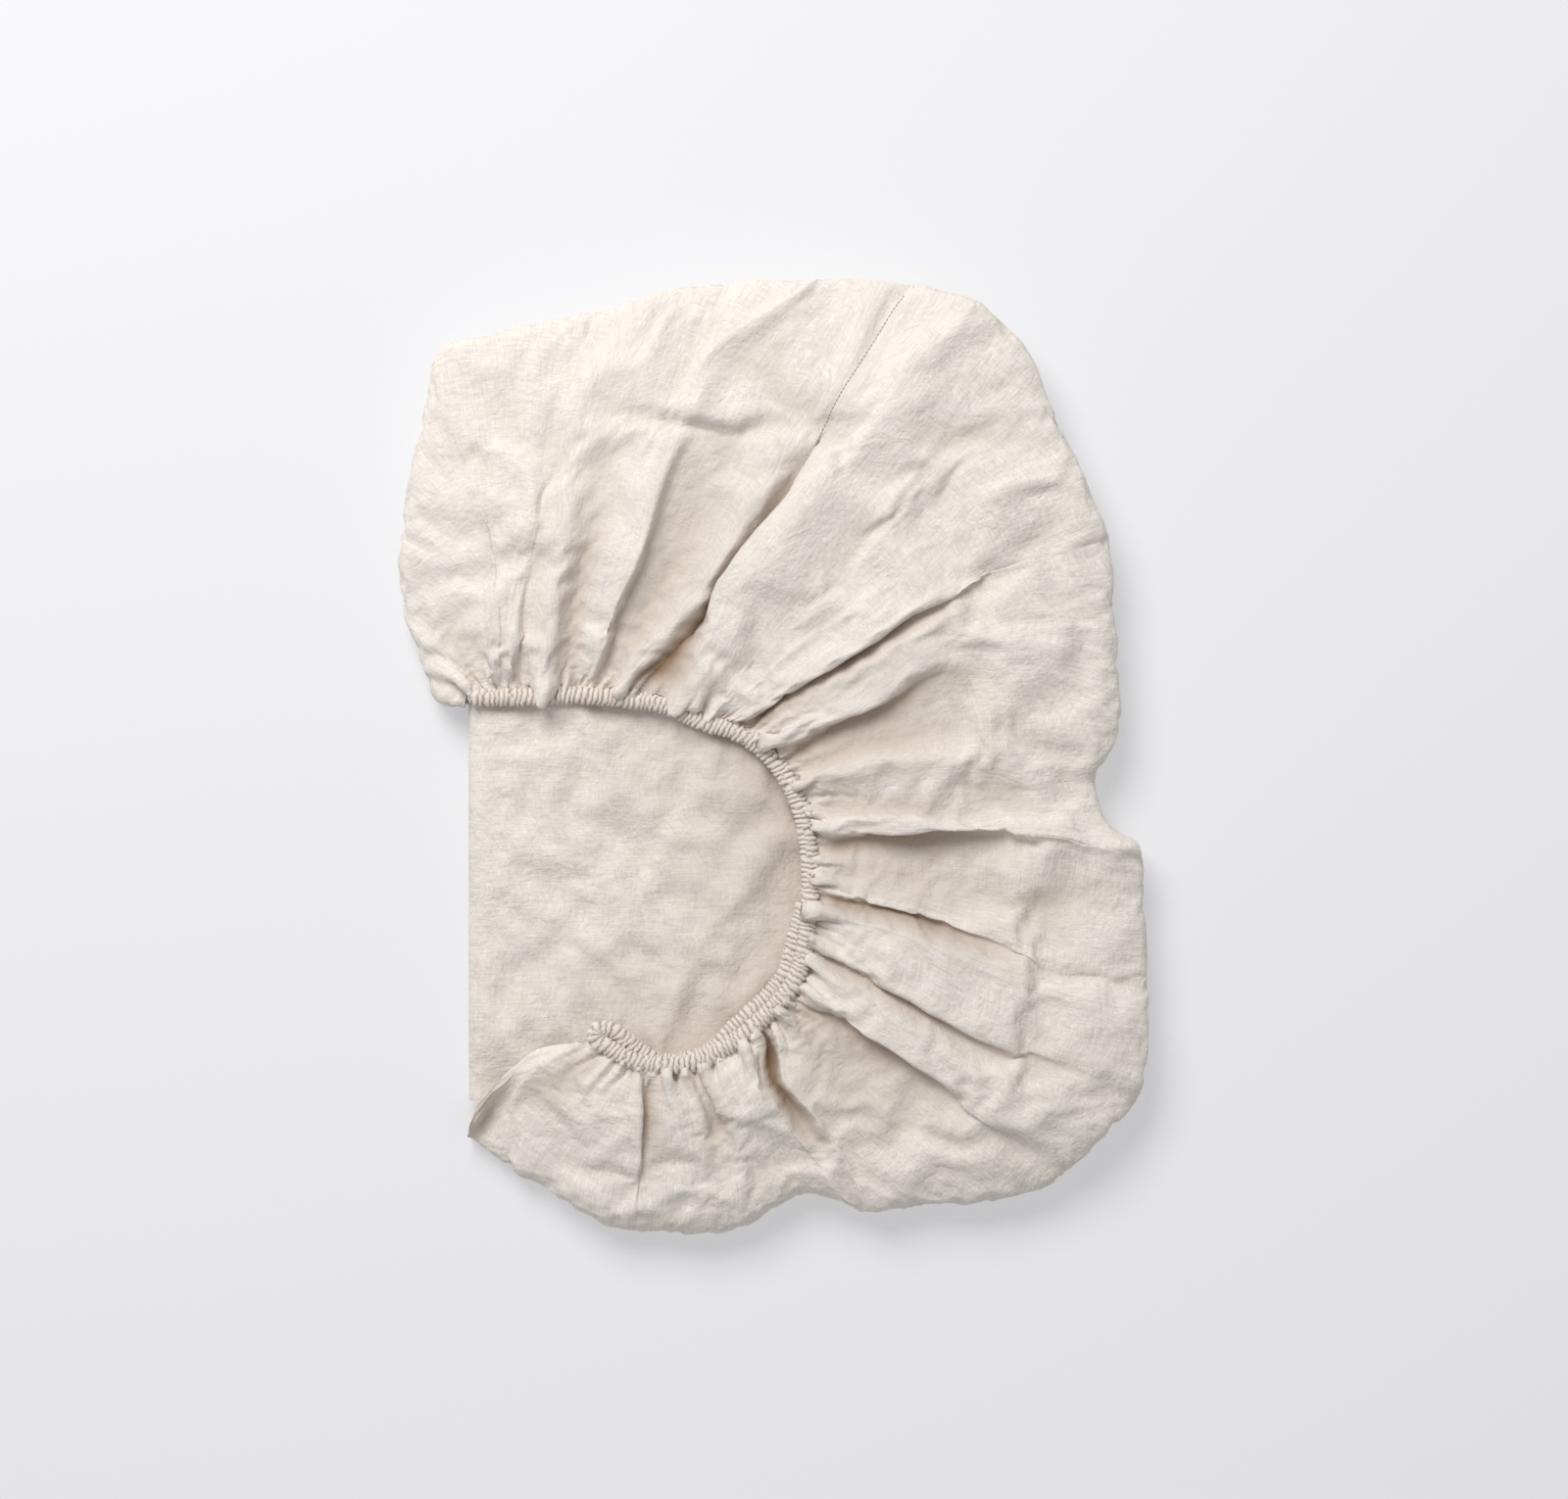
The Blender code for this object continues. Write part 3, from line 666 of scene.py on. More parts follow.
@dataclass(frozen=True)
class Crease:
    """A soft ridge over the cloth, or a trough where its height is below zero."""

    line: tuple[tuple[float, float], ...]
    half_width: float
    height: float
    fading: float = 0.25

    def lift(self, x: Array, y: Array) -> Array:
        """Return how far the crease lifts each point."""
        line = smooth_line(self.line)
        spots = place_along(line, np.arange(0, lengths_along(line)[-1], 0.3 * self.half_width))
        reach = 3 * self.half_width
        (left, front), (right, back) = spots.min(axis=0) - reach, spots.max(axis=0) + reach
        near = (x > left) & (x < right) & (y > front) & (y < back)
        away = np.hypot(x[near][:, None] - spots[:, 0], y[near][:, None] - spots[:, 1])
        place = away.argmin(axis=1) / (len(spots) - 1)
        ends = ramp(np.minimum(place, 1 - place), 0, self.fading) ** 0.8
        lift = np.zeros(np.shape(x))
        lift[near] = self.height * ends * bell(away.min(axis=1), self.half_width)
        return lift


POCKET_CREASES = (
    Crease(((-84, 202), (-50, 195), (-27, 191), (-7, 194), (2, 199)), 5.0, -3.0),
    Crease(((-80, 209), (-46, 204), (-20, 201), (6, 207)), 7.0, 2.0),
    Crease(((-117, 219), (-116, 231), (-114, 242)), 4.0, -2.2),
    Crease(((-188, 173), (-178, 177), (-168, 181)), 3.5, -2.0),
    Crease(((90, 180), (114, 187), (142, 184), (169, 176)), 8.0, -3.2),
    Crease(((116, 146), (123, 150), (149, 161), (174, 164)), 6.0, 3.2),
    Crease(((108, 96), (123, 101), (149, 121), (177, 132)), 10.0, -4.5),
    Crease(((104, 72), (111, 70), (151, 68), (180, 61)), 7.0, 3.5),
    Crease(((60, 198), (84, 210), (104, 214)), 6.0, 2.6),
    Crease(((30, 180), (50, 196), (66, 203)), 6.0, -2.2),
    Crease(((-111, -241), (-96, -228), (-82, -213)), 4.5, 2.4),
    Crease(((-47, -185), (-37, -195), (-23, -211)), 4.0, 2.4),
    Crease(((-39, -190), (-33, -205), (-32, -225)), 5.0, -2.6),
    Crease(((-113, -165), (-120, -171), (-127, -177)), 3.0, -2.0),
    Crease(((-100, -172), (-108, -182), (-112, -196)), 4.0, 2.4),
    Crease(((100, -186), (126, -205), (150, -210), (176, -196)), 5.0, 2.6),
    Crease(((70, -205), (100, -222), (132, -226)), 7.0, -3.0),
    Crease(((84, -95), (120, -82), (160, -86), (200, -76)), 12.0, -4.0),
    Crease(((130, 20), (165, 4), (190, 6)), 8.0, -2.6),
    Crease(((-170, 96), (-160, 120), (-164, 150)), 8.0, -2.6),
    Crease(((-146, 120), (-140, 150), (-148, 190)), 8.0, 2.4),
)
PANEL_CREASES = (
    Crease(((-46, -118), (-52, -132), (-58, -150), (-63, -165)), 4.5, 2.6),
    Crease(((-36, -120), (-42, -140), (-50, -160)), 6.0, -2.0),
    Crease(((-152, -134), (-147, -149), (-154, -166)), 3.5, 2.0),
    Crease(((12, -32), (-8, -60), (-25, -83), (-50, -112)), 7.0, 1.4),
    Crease(((20, -50), (4, -78), (-12, -98)), 8.0, -1.4),
    Crease(((-110, 30), (-96, -10), (-102, -60)), 9.0, 1.2),
    Crease(((-60, 28), (-50, -6), (-66, -46)), 8.0, -1.4),
    Crease(((-160, -60), (-140, -86), (-104, -104)), 7.0, 1.2),
)


@dataclass(frozen=True)
class Slackening:
    """A short cloth simulation: the cloth gets a little larger than its shape, and buckles."""

    spare: float = 0.025
    frames: int = 18
    step: int = 2
    weight: float = 0.04
    stiffness: float = 40.0
    bending: float = 9.0
    damping: float = 2.0
    gravity: float = 0.0

    def slacken(self, surface: Array, held: Array) -> Array:
        """Let a coarser net of the cloth buckle, and bend the cloth as the net went.

        Args:
            surface: The cloth, an array (rows, columns, 3) in millimetres.
            held: How firmly each point is held, from 0 to 1.

        Returns:
            The buckled cloth.
        """
        rows, columns = (np.unique(np.r_[0:size:self.step, size - 1]) for size in surface.shape[:2])
        net = surface[np.ix_(rows, columns)]
        moved = self.simulate(net, held[np.ix_(rows, columns)]) - net
        for size, knots in zip(surface.shape[:2], (rows, columns)):
            places = np.interp(np.arange(size), knots, np.arange(len(knots)))
            moved = through_controls(moved, places).transpose(1, 0, 2)
        return surface + moved

    def simulate(self, net: Array, held: Array) -> Array:
        """Run the simulation on a net and return its points."""
        mesh, row, column = plain_grid(net)
        cloth = placed("net", mesh)
        group = cloth.vertex_groups.new(name="held")
        for point, firmness in enumerate(held[row, column].tolist()):
            group.add([point], firmness, "REPLACE")
        modifier = cloth.modifiers.new("buckle", "CLOTH")
        modifier.collision_settings.use_collision = False
        modifier.point_cache.frame_start = 1
        modifier.point_cache.frame_end = self.frames + 1
        settings = {
            "quality": 5, "mass": self.weight, "air_damping": self.damping, "bending_model": "ANGULAR",
            "tension_stiffness": self.stiffness, "compression_stiffness": self.stiffness,
            "shear_stiffness": self.stiffness / 2, "bending_stiffness": self.bending,
            "bending_damping": 0.5, "shrink_min": -self.spare, "vertex_group_mass": group.name,
            "pin_stiffness": 1.0,
        }
        for name, value in settings.items():
            setattr(modifier.settings, name, value)
        modifier.settings.effector_weights.gravity = self.gravity
        scene = bpy.context.scene
        for frame_number in range(1, self.frames + 2):
            scene.frame_set(frame_number)
        done = cloth.evaluated_get(bpy.context.evaluated_depsgraph_get())
        points = np.empty_like(net)
        points[row, column] = mesh_points(done.data) / MM
        bpy.data.objects.remove(cloth)
        bpy.data.meshes.remove(mesh)
        scene.frame_set(1)
        log.info("cloth of %d points moved %.2f mm", row.size, np.linalg.norm(points - net, axis=-1).mean())
        return points


@dataclass
class Pocket:
    """The gathered corner pocket, with its roll down to the table.

    Its grid has a column for each fold number and a row for each station, from the turned lip along
    the mouth, over the crown and down the roll to the table. Shares are of the way from mouth to rim.
    """

    column_least: float = 4.0
    column_share: float = 0.24
    rows_by_station: tuple[int, ...] = (4, 26, 24, 26, 12, 12, 8, 6)
    height_places: tuple[float, ...] = (0.0, 0.1, 0.35, 0.7)
    extra_relief: tuple[float, ...] = (0.0, 0.3, 0.22, 0.0)
    relief_reach: float = 3.0
    roll_heights: tuple[float, ...] = (0.80, 0.46, 0.12, 0.0)
    roll_inset: float = 15.0
    roll_depth_share: float = 0.20
    roll_depth_most: float = 17.0
    lip_inside: float = -3.2
    lip_drop: float = 0.8
    flap_drop: float = 3.2
    flap_starts: float = 500.0
    gathers_end: float = 508.0
    ends_over: float = 16.0
    flap_turned: float = 14.0
    tuck_starts: float = 0.16
    tuck_fades: tuple[float, float] = (0.92, 0.42)
    gather_depth: float = 15.0
    gather_fades: float = 15.0
    lobes: tuple[tuple[float, float, float], ...] = (
        (58, 8.5, 20.0), (102, 6.0, 9.0), (119, 6.0, 9.0), (139, 12.0, 18.0), (172, 4.5, 8.0),
        (199, 5.5, 9.0), (226, 4.0, 7.0), (240, 4.0, 8.0), (256, 5.0, 8.0), (281, 4.0, 7.0),
        (304, 5.5, 10.0), (334, 6.0, 11.0), (351, 4.5, 8.0), (399, 5.0, 6.0), (446, 5.0, 6.0),
    )
    lobe_out: float = 9.0
    lobe_rise: float = 0.19
    large_lobe: float = 10.0
    calm_place: tuple[float, float] = (-80.0, 185.0)
    calm_reach: tuple[float, float] = (150.0, 110.0)
    calm_share: float = 0.68
    shade_width: float = 0.74
    hollow_shade: float = 0.5
    hollow_reach: float = 34.0
    loose_hold: float = 0.17
    weave: Crumple = Crumple(11)
    gathers: Crumple = Crumple(23)
    slackening: Slackening = Slackening()

    def __post_init__(self) -> None:
        """Work out the grid's rows and columns, and where its columns start and end."""
        runs = [start + np.arange(parts) / parts for start, parts in enumerate(self.rows_by_station)]
        self.stations = np.concatenate(runs + [[float(len(self.rows_by_station))]])
        numbers = []
        for number, (fold, following) in enumerate(zip(FOLDS, FOLDS[1:])):
            parts = round(self.column_least + self.column_share * (following.rim - fold.rim))
            numbers.extend(number + part / parts for part in range(parts))
        self.numbers = np.array(numbers + [len(FOLDS) - 1.0])
        self.along = self.column([fold.mouth for fold in FOLDS])
        self.wide = self.column([fold.rim for fold in FOLDS])
        self.flap = ramp(self.along, self.flap_starts, self.flap_starts + self.ends_over)
        self.gathered = self.gathers_at(self.along)

    def column(self, values: Sequence[float]) -> Array:
        """Read one column of the fold table at the grid's columns."""
        return steady_curve(np.arange(len(FOLDS)), values, self.numbers)

    def gathers_at(self, along: Array) -> Array:
        """Return 1 where the elastic gathers the cloth, and 0 beyond its end."""
        return ramp(along, self.gathers_end, self.gathers_end - self.ends_over)

    def bow(self, share: Array) -> Array:
        """Return the sideways bends, with each foot tucked under its neighbour."""
        bows = [self.column([fold.bows[part] for fold in FOLDS]) for part in range(3)]
        bows = np.pad(bows, ((1, 1), (0, 0)))
        place = np.clip(share, 0, 1) * (len(bows) - 1)
        start = np.minimum(place.astype(int), len(bows) - 2)
        part = place - start
        mixed = 0.5 * (part + part * part * (3 - 2 * part))
        across = np.arange(len(self.numbers))
        bow = bows[start, across] * (1 - mixed) + bows[start + 1, across] * mixed
        reach = ramp(share, 0, self.tuck_starts) ** 1.5 * ramp(share, *self.tuck_fades)
        return bow + self.column([fold.tuck for fold in FOLDS]) * reach

    def plain(self) -> tuple[Array, Array, Array]:
        """Return the folded surface without small creases, the share of the way and the distance out."""
        mouth = place_along(smooth_line(MOUTH), self.along)
        way = place_along(smooth_line(RIM), self.wide) - mouth
        reach = np.linalg.norm(way, axis=1)
        left = np.stack([-way[:, 1], way[:, 0]], -1) / reach[:, None]
        heights = [self.column([fold.heights[part] for fold in FOLDS]) for part in range(4)]
        for part, relief in enumerate(self.extra_relief):
            around = averaged(heights[part], self.numbers, self.relief_reach)
            heights[part] = heights[part] + relief * (heights[part] - around)
        heights += [heights[3] * share for share in self.roll_heights]
        depth = np.minimum(self.roll_depth_most, self.roll_depth_share * reach)
        inset = np.minimum(self.roll_inset, 4 + 0.3 * reach)
        outward = [place * reach for place in self.height_places]
        outward += [reach - 0.35 * depth, reach, reach - 0.3 * inset, reach - inset]
        turned = np.minimum(self.flap_turned, 0.5 * reach)
        outward.insert(0, self.lip_inside + self.flap * (turned - self.lip_inside))
        heights.insert(0, heights[0] - self.lip_drop - self.flap_drop * self.flap)
        profile = through_controls(np.stack([outward, heights], -1), self.stations)
        over = bell(profile[..., 0] - self.lobe_out, self.lobe_out) * (self.stations > 1)[:, None]
        for at, width, lap in self.lobes:
            lapped = lap * over * np.clip(1.15 - np.abs(self.along - at) / width, 0, 1)
            profile[..., 0] -= lapped
            profile[..., 1] += self.lobe_rise * lapped
        share = profile[..., 0] / reach
        plan = mouth + share[..., None] * way + self.bow(share)[..., None] * left
        surface = np.concatenate([plan, np.maximum(profile[..., 1:], 0)], axis=-1)
        return surface, share, np.maximum(share * reach, 0)

    def puffs(self, along: Array, out: Array) -> Array:
        """Return the height of the small puffs that the elastic gathers, 0 in the tucks between them."""
        swell = self.gathers.folded(along / 9.6, out / 60 + 2, 0.0006)
        finer = self.gathers.folded(along / 5.2 + 30, out / 40, 0.001)
        fading = np.exp(-out / self.gather_fades)
        return (swell + 0.5 * finer * np.exp(-out / 6)) * fading * self.gathers_at(along)

    def small_creases(self, surface: Array, out: Array, drift: Array, puffs: Array) -> Array:
        """Work out the gathers and the crumple.

        Args:
            surface: The folded surface.
            out: Each point's distance from the mouth.
            drift: How far the gathers wander along the mouth.
            puffs: The height of the puffs, as a share.

        Returns:
            How far each point is pushed out, in millimetres.
        """
        x, y, z = np.moveaxis(surface, -1, 0)
        bend_x = 14 * self.weave.noise(x / 60 + 7, y / 60)
        bend_y = 14 * self.weave.noise(x / 60, y / 60 + 31)
        wide = self.wide + 12 * self.weave.noise(x / 50, y / 50 + 5)
        # Each size of crumple: its height, its noise, the distance between crests, and where it starts
        crumple = sum((
            3.0 * self.weave.noise(x / 95 + 15, y / 95 + 15),
            1.1 * self.gathers.creased((x + bend_y) / 44 + 50, (y - bend_x) / 44),
            -3.2 * self.weave.creased((x + bend_x) / 66, (y + bend_y) / 66),
            -0.75 * self.gathers.creased((x + bend_y) / 23 + 9, (y - bend_x) / 23),
            -0.3 * self.weave.creased((x - bend_y) / 11 + 70, (y + bend_x) / 11),
            -2.4 * self.weave.creased(wide / 38 + 20, out / 120) * ramp(out, 0, 25),
        ))
        calm = self.calm_share
        for axis, at, reach in zip((x, y), self.calm_place, self.calm_reach):
            calm = calm * bell(axis - at, reach)
        creases = sum(crease.lift(x, y) for crease in POCKET_CREASES)
        loose = np.clip(out / 20, 0.15, 1) * (1 - (1 - self.gathered) * bell(out, 24))
        tips = sum(bell(self.along - at, width) for at, width, lap in self.lobes if lap > self.large_lobe)
        puffed = self.gather_depth * (puffs - 0.22 * np.exp(-out / self.gather_fades) * self.gathered)
        pulled = self.gathers.creased((self.along + 1.6 * drift) / 11.5 + 40, out / 120) * np.exp(-out / 48)
        push = puffed * (1 - 0.65 * np.clip(tips, 0, 1)) - 3.0 * pulled * self.gathered
        push = push + (crumple * (1 - calm) + creases) * loose
        side = 3.4 * self.weave.creased(wide / 21 + 60, z / 60)
        side = side + 1.6 * self.gathers.creased(wide / 11, z / 30)
        return (push - side * ramp(z, 26, 12)) * ramp(z, 0, 8)

    def late_creases(self, surface: Array) -> Array:
        """Return the sharp small creases of washed linen, in millimetres."""
        x, y, z = np.moveaxis(surface, -1, 0)
        bend_x = 10 * self.gathers.noise(x / 38 + 3, y / 38)
        bend_y = 10 * self.gathers.noise(x / 38, y / 38 + 12)
        sharp = np.abs(self.weave.noise((x + bend_x) / 21 + 5, (y + bend_y) / 27))
        crossing = np.abs(self.gathers.noise((x - bend_y) / 13 + 45, (y + bend_x) / 15))
        where = np.clip(0.5 + 0.9 * self.weave.noise(x / 70 + 90, y / 70), 0.15, 1)
        return (-1.1 * sharp - 0.6 * crossing + 0.5) * where * (z > 3)

    def held(self, surface: Array, deep: Array) -> Array:
        """Return how firmly the elastic, the table and the layers below hold each point, from 0 to 1."""
        rows, ends = self.stations[:, None], np.zeros(surface.shape[1])
        ends[[0, -1]] = 1
        lip = np.maximum(ramp(rows, 1.25, 1.0), 0.5 * ramp(rows, 1.9, 1.5))
        roll, table = 0.55 * ramp(rows, 4.2, 5.0), ramp(surface[..., 2], 8, 3)
        turned = 0.9 * self.flap * ramp(rows, 2.6, 2.0)
        holds = (lip, roll, table, 0.95 * np.clip(1.6 * deep, 0, 1), turned, ends)
        return reduce(np.maximum, holds, self.loose_hold)

    def painted_shade_depth(self, share: Array, out: Array, puffs: Array) -> Array:
        """Return how deep each point sits between its neighbours, from 0 to 1, as the painted shade it
        gets.
        """
        tucks = self.gathered * np.clip(1 - puffs / (0.13 * np.exp(-out / self.gather_fades)), 0, 1)
        deep = 0.9 * tucks * np.exp(-out / 9)
        reach = ramp(share, -0.03, 0.05) * ramp(share, 0.7, 0.3)
        for number, fold in enumerate(FOLDS):
            if fold.shade > 0:
                # Painted shade along each fold that the table shades, fading out towards the rim
                deep = np.maximum(deep, fold.shade * bell(self.numbers - number, self.shade_width) * reach)
        return deep

    def hollows(self, surface: Array, share: Array) -> Array:
        """Return how far each point lies below the cloth beside it, from 0 to 1."""
        z = surface[..., 2]
        hollow = ramp(averaged(z, self.wide, self.hollow_reach) - z, 0.5, 8.5)
        return hollow * ramp(share, 1, 0.7) * ramp(share, 0, 0.1)

    def make(self) -> Mesh:
        """Build the pocket's mesh."""
        surface, share, out = self.plain()
        drift = 2.0 * self.weave.noise(self.along / 23, out / 30)
        puffs = self.puffs(self.along + drift, out)
        # Painted shade for the tucks and crevices; the same depth also holds the crevice floors in the
        # simulation
        deep = self.painted_shade_depth(share, out, puffs)
        surface = pushed(surface, self.small_creases(surface, out, drift, puffs))
        surface = self.slackening.slacken(surface, self.held(surface, deep))
        surface = pushed(surface, self.late_creases(surface))
        surface[..., 2] = np.maximum(surface[..., 2], 0)
        self.surface, self.shares = surface, share
        run = lengths_along(surface)
        threads = np.stack([np.broadcast_to(self.wide, run.shape), run], -1)
        # Painted shade also in the broad hollows, where the cloth lies below the cloth beside it
        deep = np.maximum(deep, self.hollow_shade * self.hollows(surface, share))
        return cloth_grid(surface, threads, deep)


@dataclass
class Stack:
    """The back-and-forth layers, the wrapped left edge and the top panel.

    A level is the share of the way up from the base to the panel.
    """

    layers: int = 15
    base_level: float = 1.5
    panel_level: float = 28.3
    left: float = -178.5
    wrap_gap: float = 2.2
    packing: float = 0.74
    wrap_steps: int = 14
    stations: int = 110
    panel_steps: int = 86
    layer_shares: tuple[float, ...] = (0, 0.35, 0.7, 0.83, 0.92, 1.0)
    edge_drop: float = 9.0
    edge_reach: float = 28.0
    uneven_edge: float = 2.5
    uneven_step: float = 47.0
    swells: tuple[tuple[float, ...], ...] = (
        (-140, -20, 40, 60, 0.9), (-60, -60, 36, 50, -0.8), (-100, -130, 50, 30, 0.8),
        (14, -75, 32, 65, -3.8), (-70, 20, 50, 22, -0.9), (-150, -150, 30, 40, -0.7),
        (-20, -130, 40, 30, -1.5),
    )
    # Where along the mouth the casing puts painted shade on the panel: start, end and step
    casing_run: tuple[float, float, float] = (205, 430, 6.0)
    crumple: Crumple = Crumple(5)
    slackening: Slackening = Slackening()
    loose_hold: float = 0.36

    def section(self) -> Array:
        """List the section as rows of (share of the width, level, turn), in the cloth's order."""
        pitch = 1 / (self.layers - 1)
        section = [(1 - step / self.panel_steps, 1.0, 0) for step in range(self.panel_steps + 1)]
        section += [(step / self.wrap_steps, 0.0, -1) for step in range(1, self.wrap_steps)]
        for layer in range(self.layers - 1):
            rightward = layer % 2 == 0
            run = self.layer_shares if rightward else self.layer_shares[::-1]
            section += [(share, layer * pitch, 0) for share in run]
            if layer < self.layers - 2:
                section.append((run[-1], (layer + 0.5) * pitch, 1 if rightward else -0.999))
        return np.array(section)

    def top(self, x: Array, y: Array) -> Array:
        """Return the panel's height over a point of the table."""
        height = np.full(np.shape(x), self.panel_level)
        for at_x, at_y, reach_x, reach_y, swell in self.swells:
            height = height + swell * bell(x - at_x, reach_x) * bell(y - at_y, reach_y)
        return height

    def folded(self) -> Array:
        """Return the stack's surface, an array (stations, section, 3)."""
        share, level, turn = self.section().T
        wrap = turn == -1
        along = np.linspace(0, 1, self.stations + 1)[:, None]
        radius = (self.panel_level - self.base_level) / 2
        off_middle = (level - 0.5) * 2 * radius
        wrapped = self.left + radius - np.sqrt(np.maximum(radius**2 - off_middle**2, 0))
        outermost = (level == 0) | (level == 1)
        left = np.where(outermost, self.left + radius, wrapped + self.wrap_gap)
        right_edge = steady_curve(*np.transpose(STACK_RIGHT), along)
        right = right_edge + self.uneven_edge * (np.sin(level * self.uneven_step) - 1)
        angle = math.pi * share
        x = np.where(wrap, self.left + radius * (1 - np.sin(angle)), left + share * (right - left))
        x = x + np.where(wrap, 0, np.sign(turn) * radius / (self.layers - 1))
        front, back = (steady_curve(*np.transpose(line), x) for line in (STACK_FRONT, STACK_BACK))
        y = front + along * (back - front)
        edge = np.minimum(np.minimum(y - front, back - y), right_edge - x)
        top = self.top(x, y) - self.edge_drop * bell(edge, self.edge_reach)
        around = 0.5 * (1 + np.cos(angle))
        packed = np.where(wrap, around, np.where(level < 1, self.packing * level, 1.0))
        outer = np.clip(np.where(wrap, around, ramp(level, 0.3, 0.9)), 0, 1)
        z = self.base_level + packed * (top - self.base_level) + self.creases(x, y) * outer
        return np.stack(np.broadcast_arrays(x, y, z), -1)

    def make(self) -> Mesh:
        """Build the stack's mesh."""
        surface = self.folded()
        panel = surface[:, :self.panel_steps + 1]
        ends = ramp(np.arange(self.panel_steps + 1), self.panel_steps - 3, self.panel_steps)
        held = np.maximum(self.loose_hold, np.broadcast_to(ends, panel.shape[:2]))
        surface[:, :self.panel_steps + 1] = self.slackening.slacken(panel, held)
        threads = np.stack([lengths_along(surface, axis=1), surface[..., 1]], -1)
        return cloth_grid(surface, threads, self.shaded(surface))

    def shaded(self, surface: Array) -> Array:
        """Return how much painted shade the panel gets beside the casing, from 0 to 1."""
        spots = place_along(smooth_line(MOUTH), np.arange(*self.casing_run))
        away = np.hypot(*(surface[..., None, axis] - spots[:, axis] for axis in range(2))).min(axis=-1)
        # Painted shade: a narrow band close to the casing and a faint wide one
        return 0.34 * bell(away, 30, 1.4) + 0.2 * bell(away, 110)

    def creases(self, x: Array, y: Array) -> Array:
        """Return the panel's soft crumple in millimetres."""
        bend_x = 14 * self.crumple.noise(x / 55, y / 55)
        bend_y = 14 * self.crumple.noise(x / 55 + 17, y / 55)
        sharp = np.abs(self.crumple.noise((x + bend_y) / 17 + 5, (y + bend_x) / 21)) - 0.3
        where = np.clip(0.6 + 0.9 * self.crumple.noise(x / 60 + 90, y / 60), 0.2, 1)
        # Each size of crumple: its height, the distances between crests, and where it starts
        return sum((
            1.1 * self.crumple.creased((x + bend_y) / 36 + 60, (y + bend_x + 0.3 * x) / 48),
            -2.6 * self.crumple.creased((x + bend_x + 0.4 * y) / 44, (y + bend_y) / 64),
            -1.2 * self.crumple.creased((x + bend_y) / 19 + 3, (y + bend_x) / 24),
            -0.9 * self.crumple.creased((x - bend_y) / 9.5 + 90, (y + bend_x) / 10.5),
            sum(crease.lift(x, y) for crease in PANEL_CREASES),
            -2.4 * sharp * where,
        ))


@dataclass
class FittedSheet:
    """The whole linen cloth: pocket, base and stack. Its flat size is in metres."""

    pocket: Pocket = field(default_factory=Pocket)
    stack: Stack = field(default_factory=Stack)
    base_left: float = -169.0
    base_front: float = 6.0
    base_back: float = -3.0
    cut: tuple[float, float] = (1.52, 2.62)
    cut_area: float = 3.60

    def make(self, material: Material) -> Object:
        """Build the cloth as one sheet of the given linen."""
        cloth = bmesh.new()
        pocket = self.pocket.make()
        cloth.from_mesh(pocket)
        self.add_base(cloth)
        stack = self.stack.make()
        cloth.from_mesh(stack)
        for spare in (pocket, stack):
            bpy.data.meshes.remove(spare)
        sheet = piece("linen_cloth", to_mesh("linen_cloth", cloth), material)
        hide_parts("linen_sheet")
        return sheet

    def add_base(self, cloth: BMesh) -> None:
        """Close the pocket's foot with the flat cloth that it rests on."""
        foot = [edge for edge in cloth.edges if edge.is_boundary and max(v.co.z for v in edge.verts) < 1e-6]
        points = {vertex for edge in foot for vertex in edge.verts}
        ends = [point for point in points if sum(edge in foot for edge in point.link_edges) == 1]
        front, back = min(ends, key=lambda end: end.co.y), max(ends, key=lambda end: end.co.y)
        left = self.base_left * MM
        near = cloth.verts.new((left, front.co.y + self.base_front * MM, 0))
        far = cloth.verts.new((left, back.co.y + self.base_back * MM, 0))
        sides = [cloth.edges.new(pair) for pair in ((front, near), (near, far), (far, back))]
        bmesh.ops.contextual_create(cloth, geom=foot + sides)


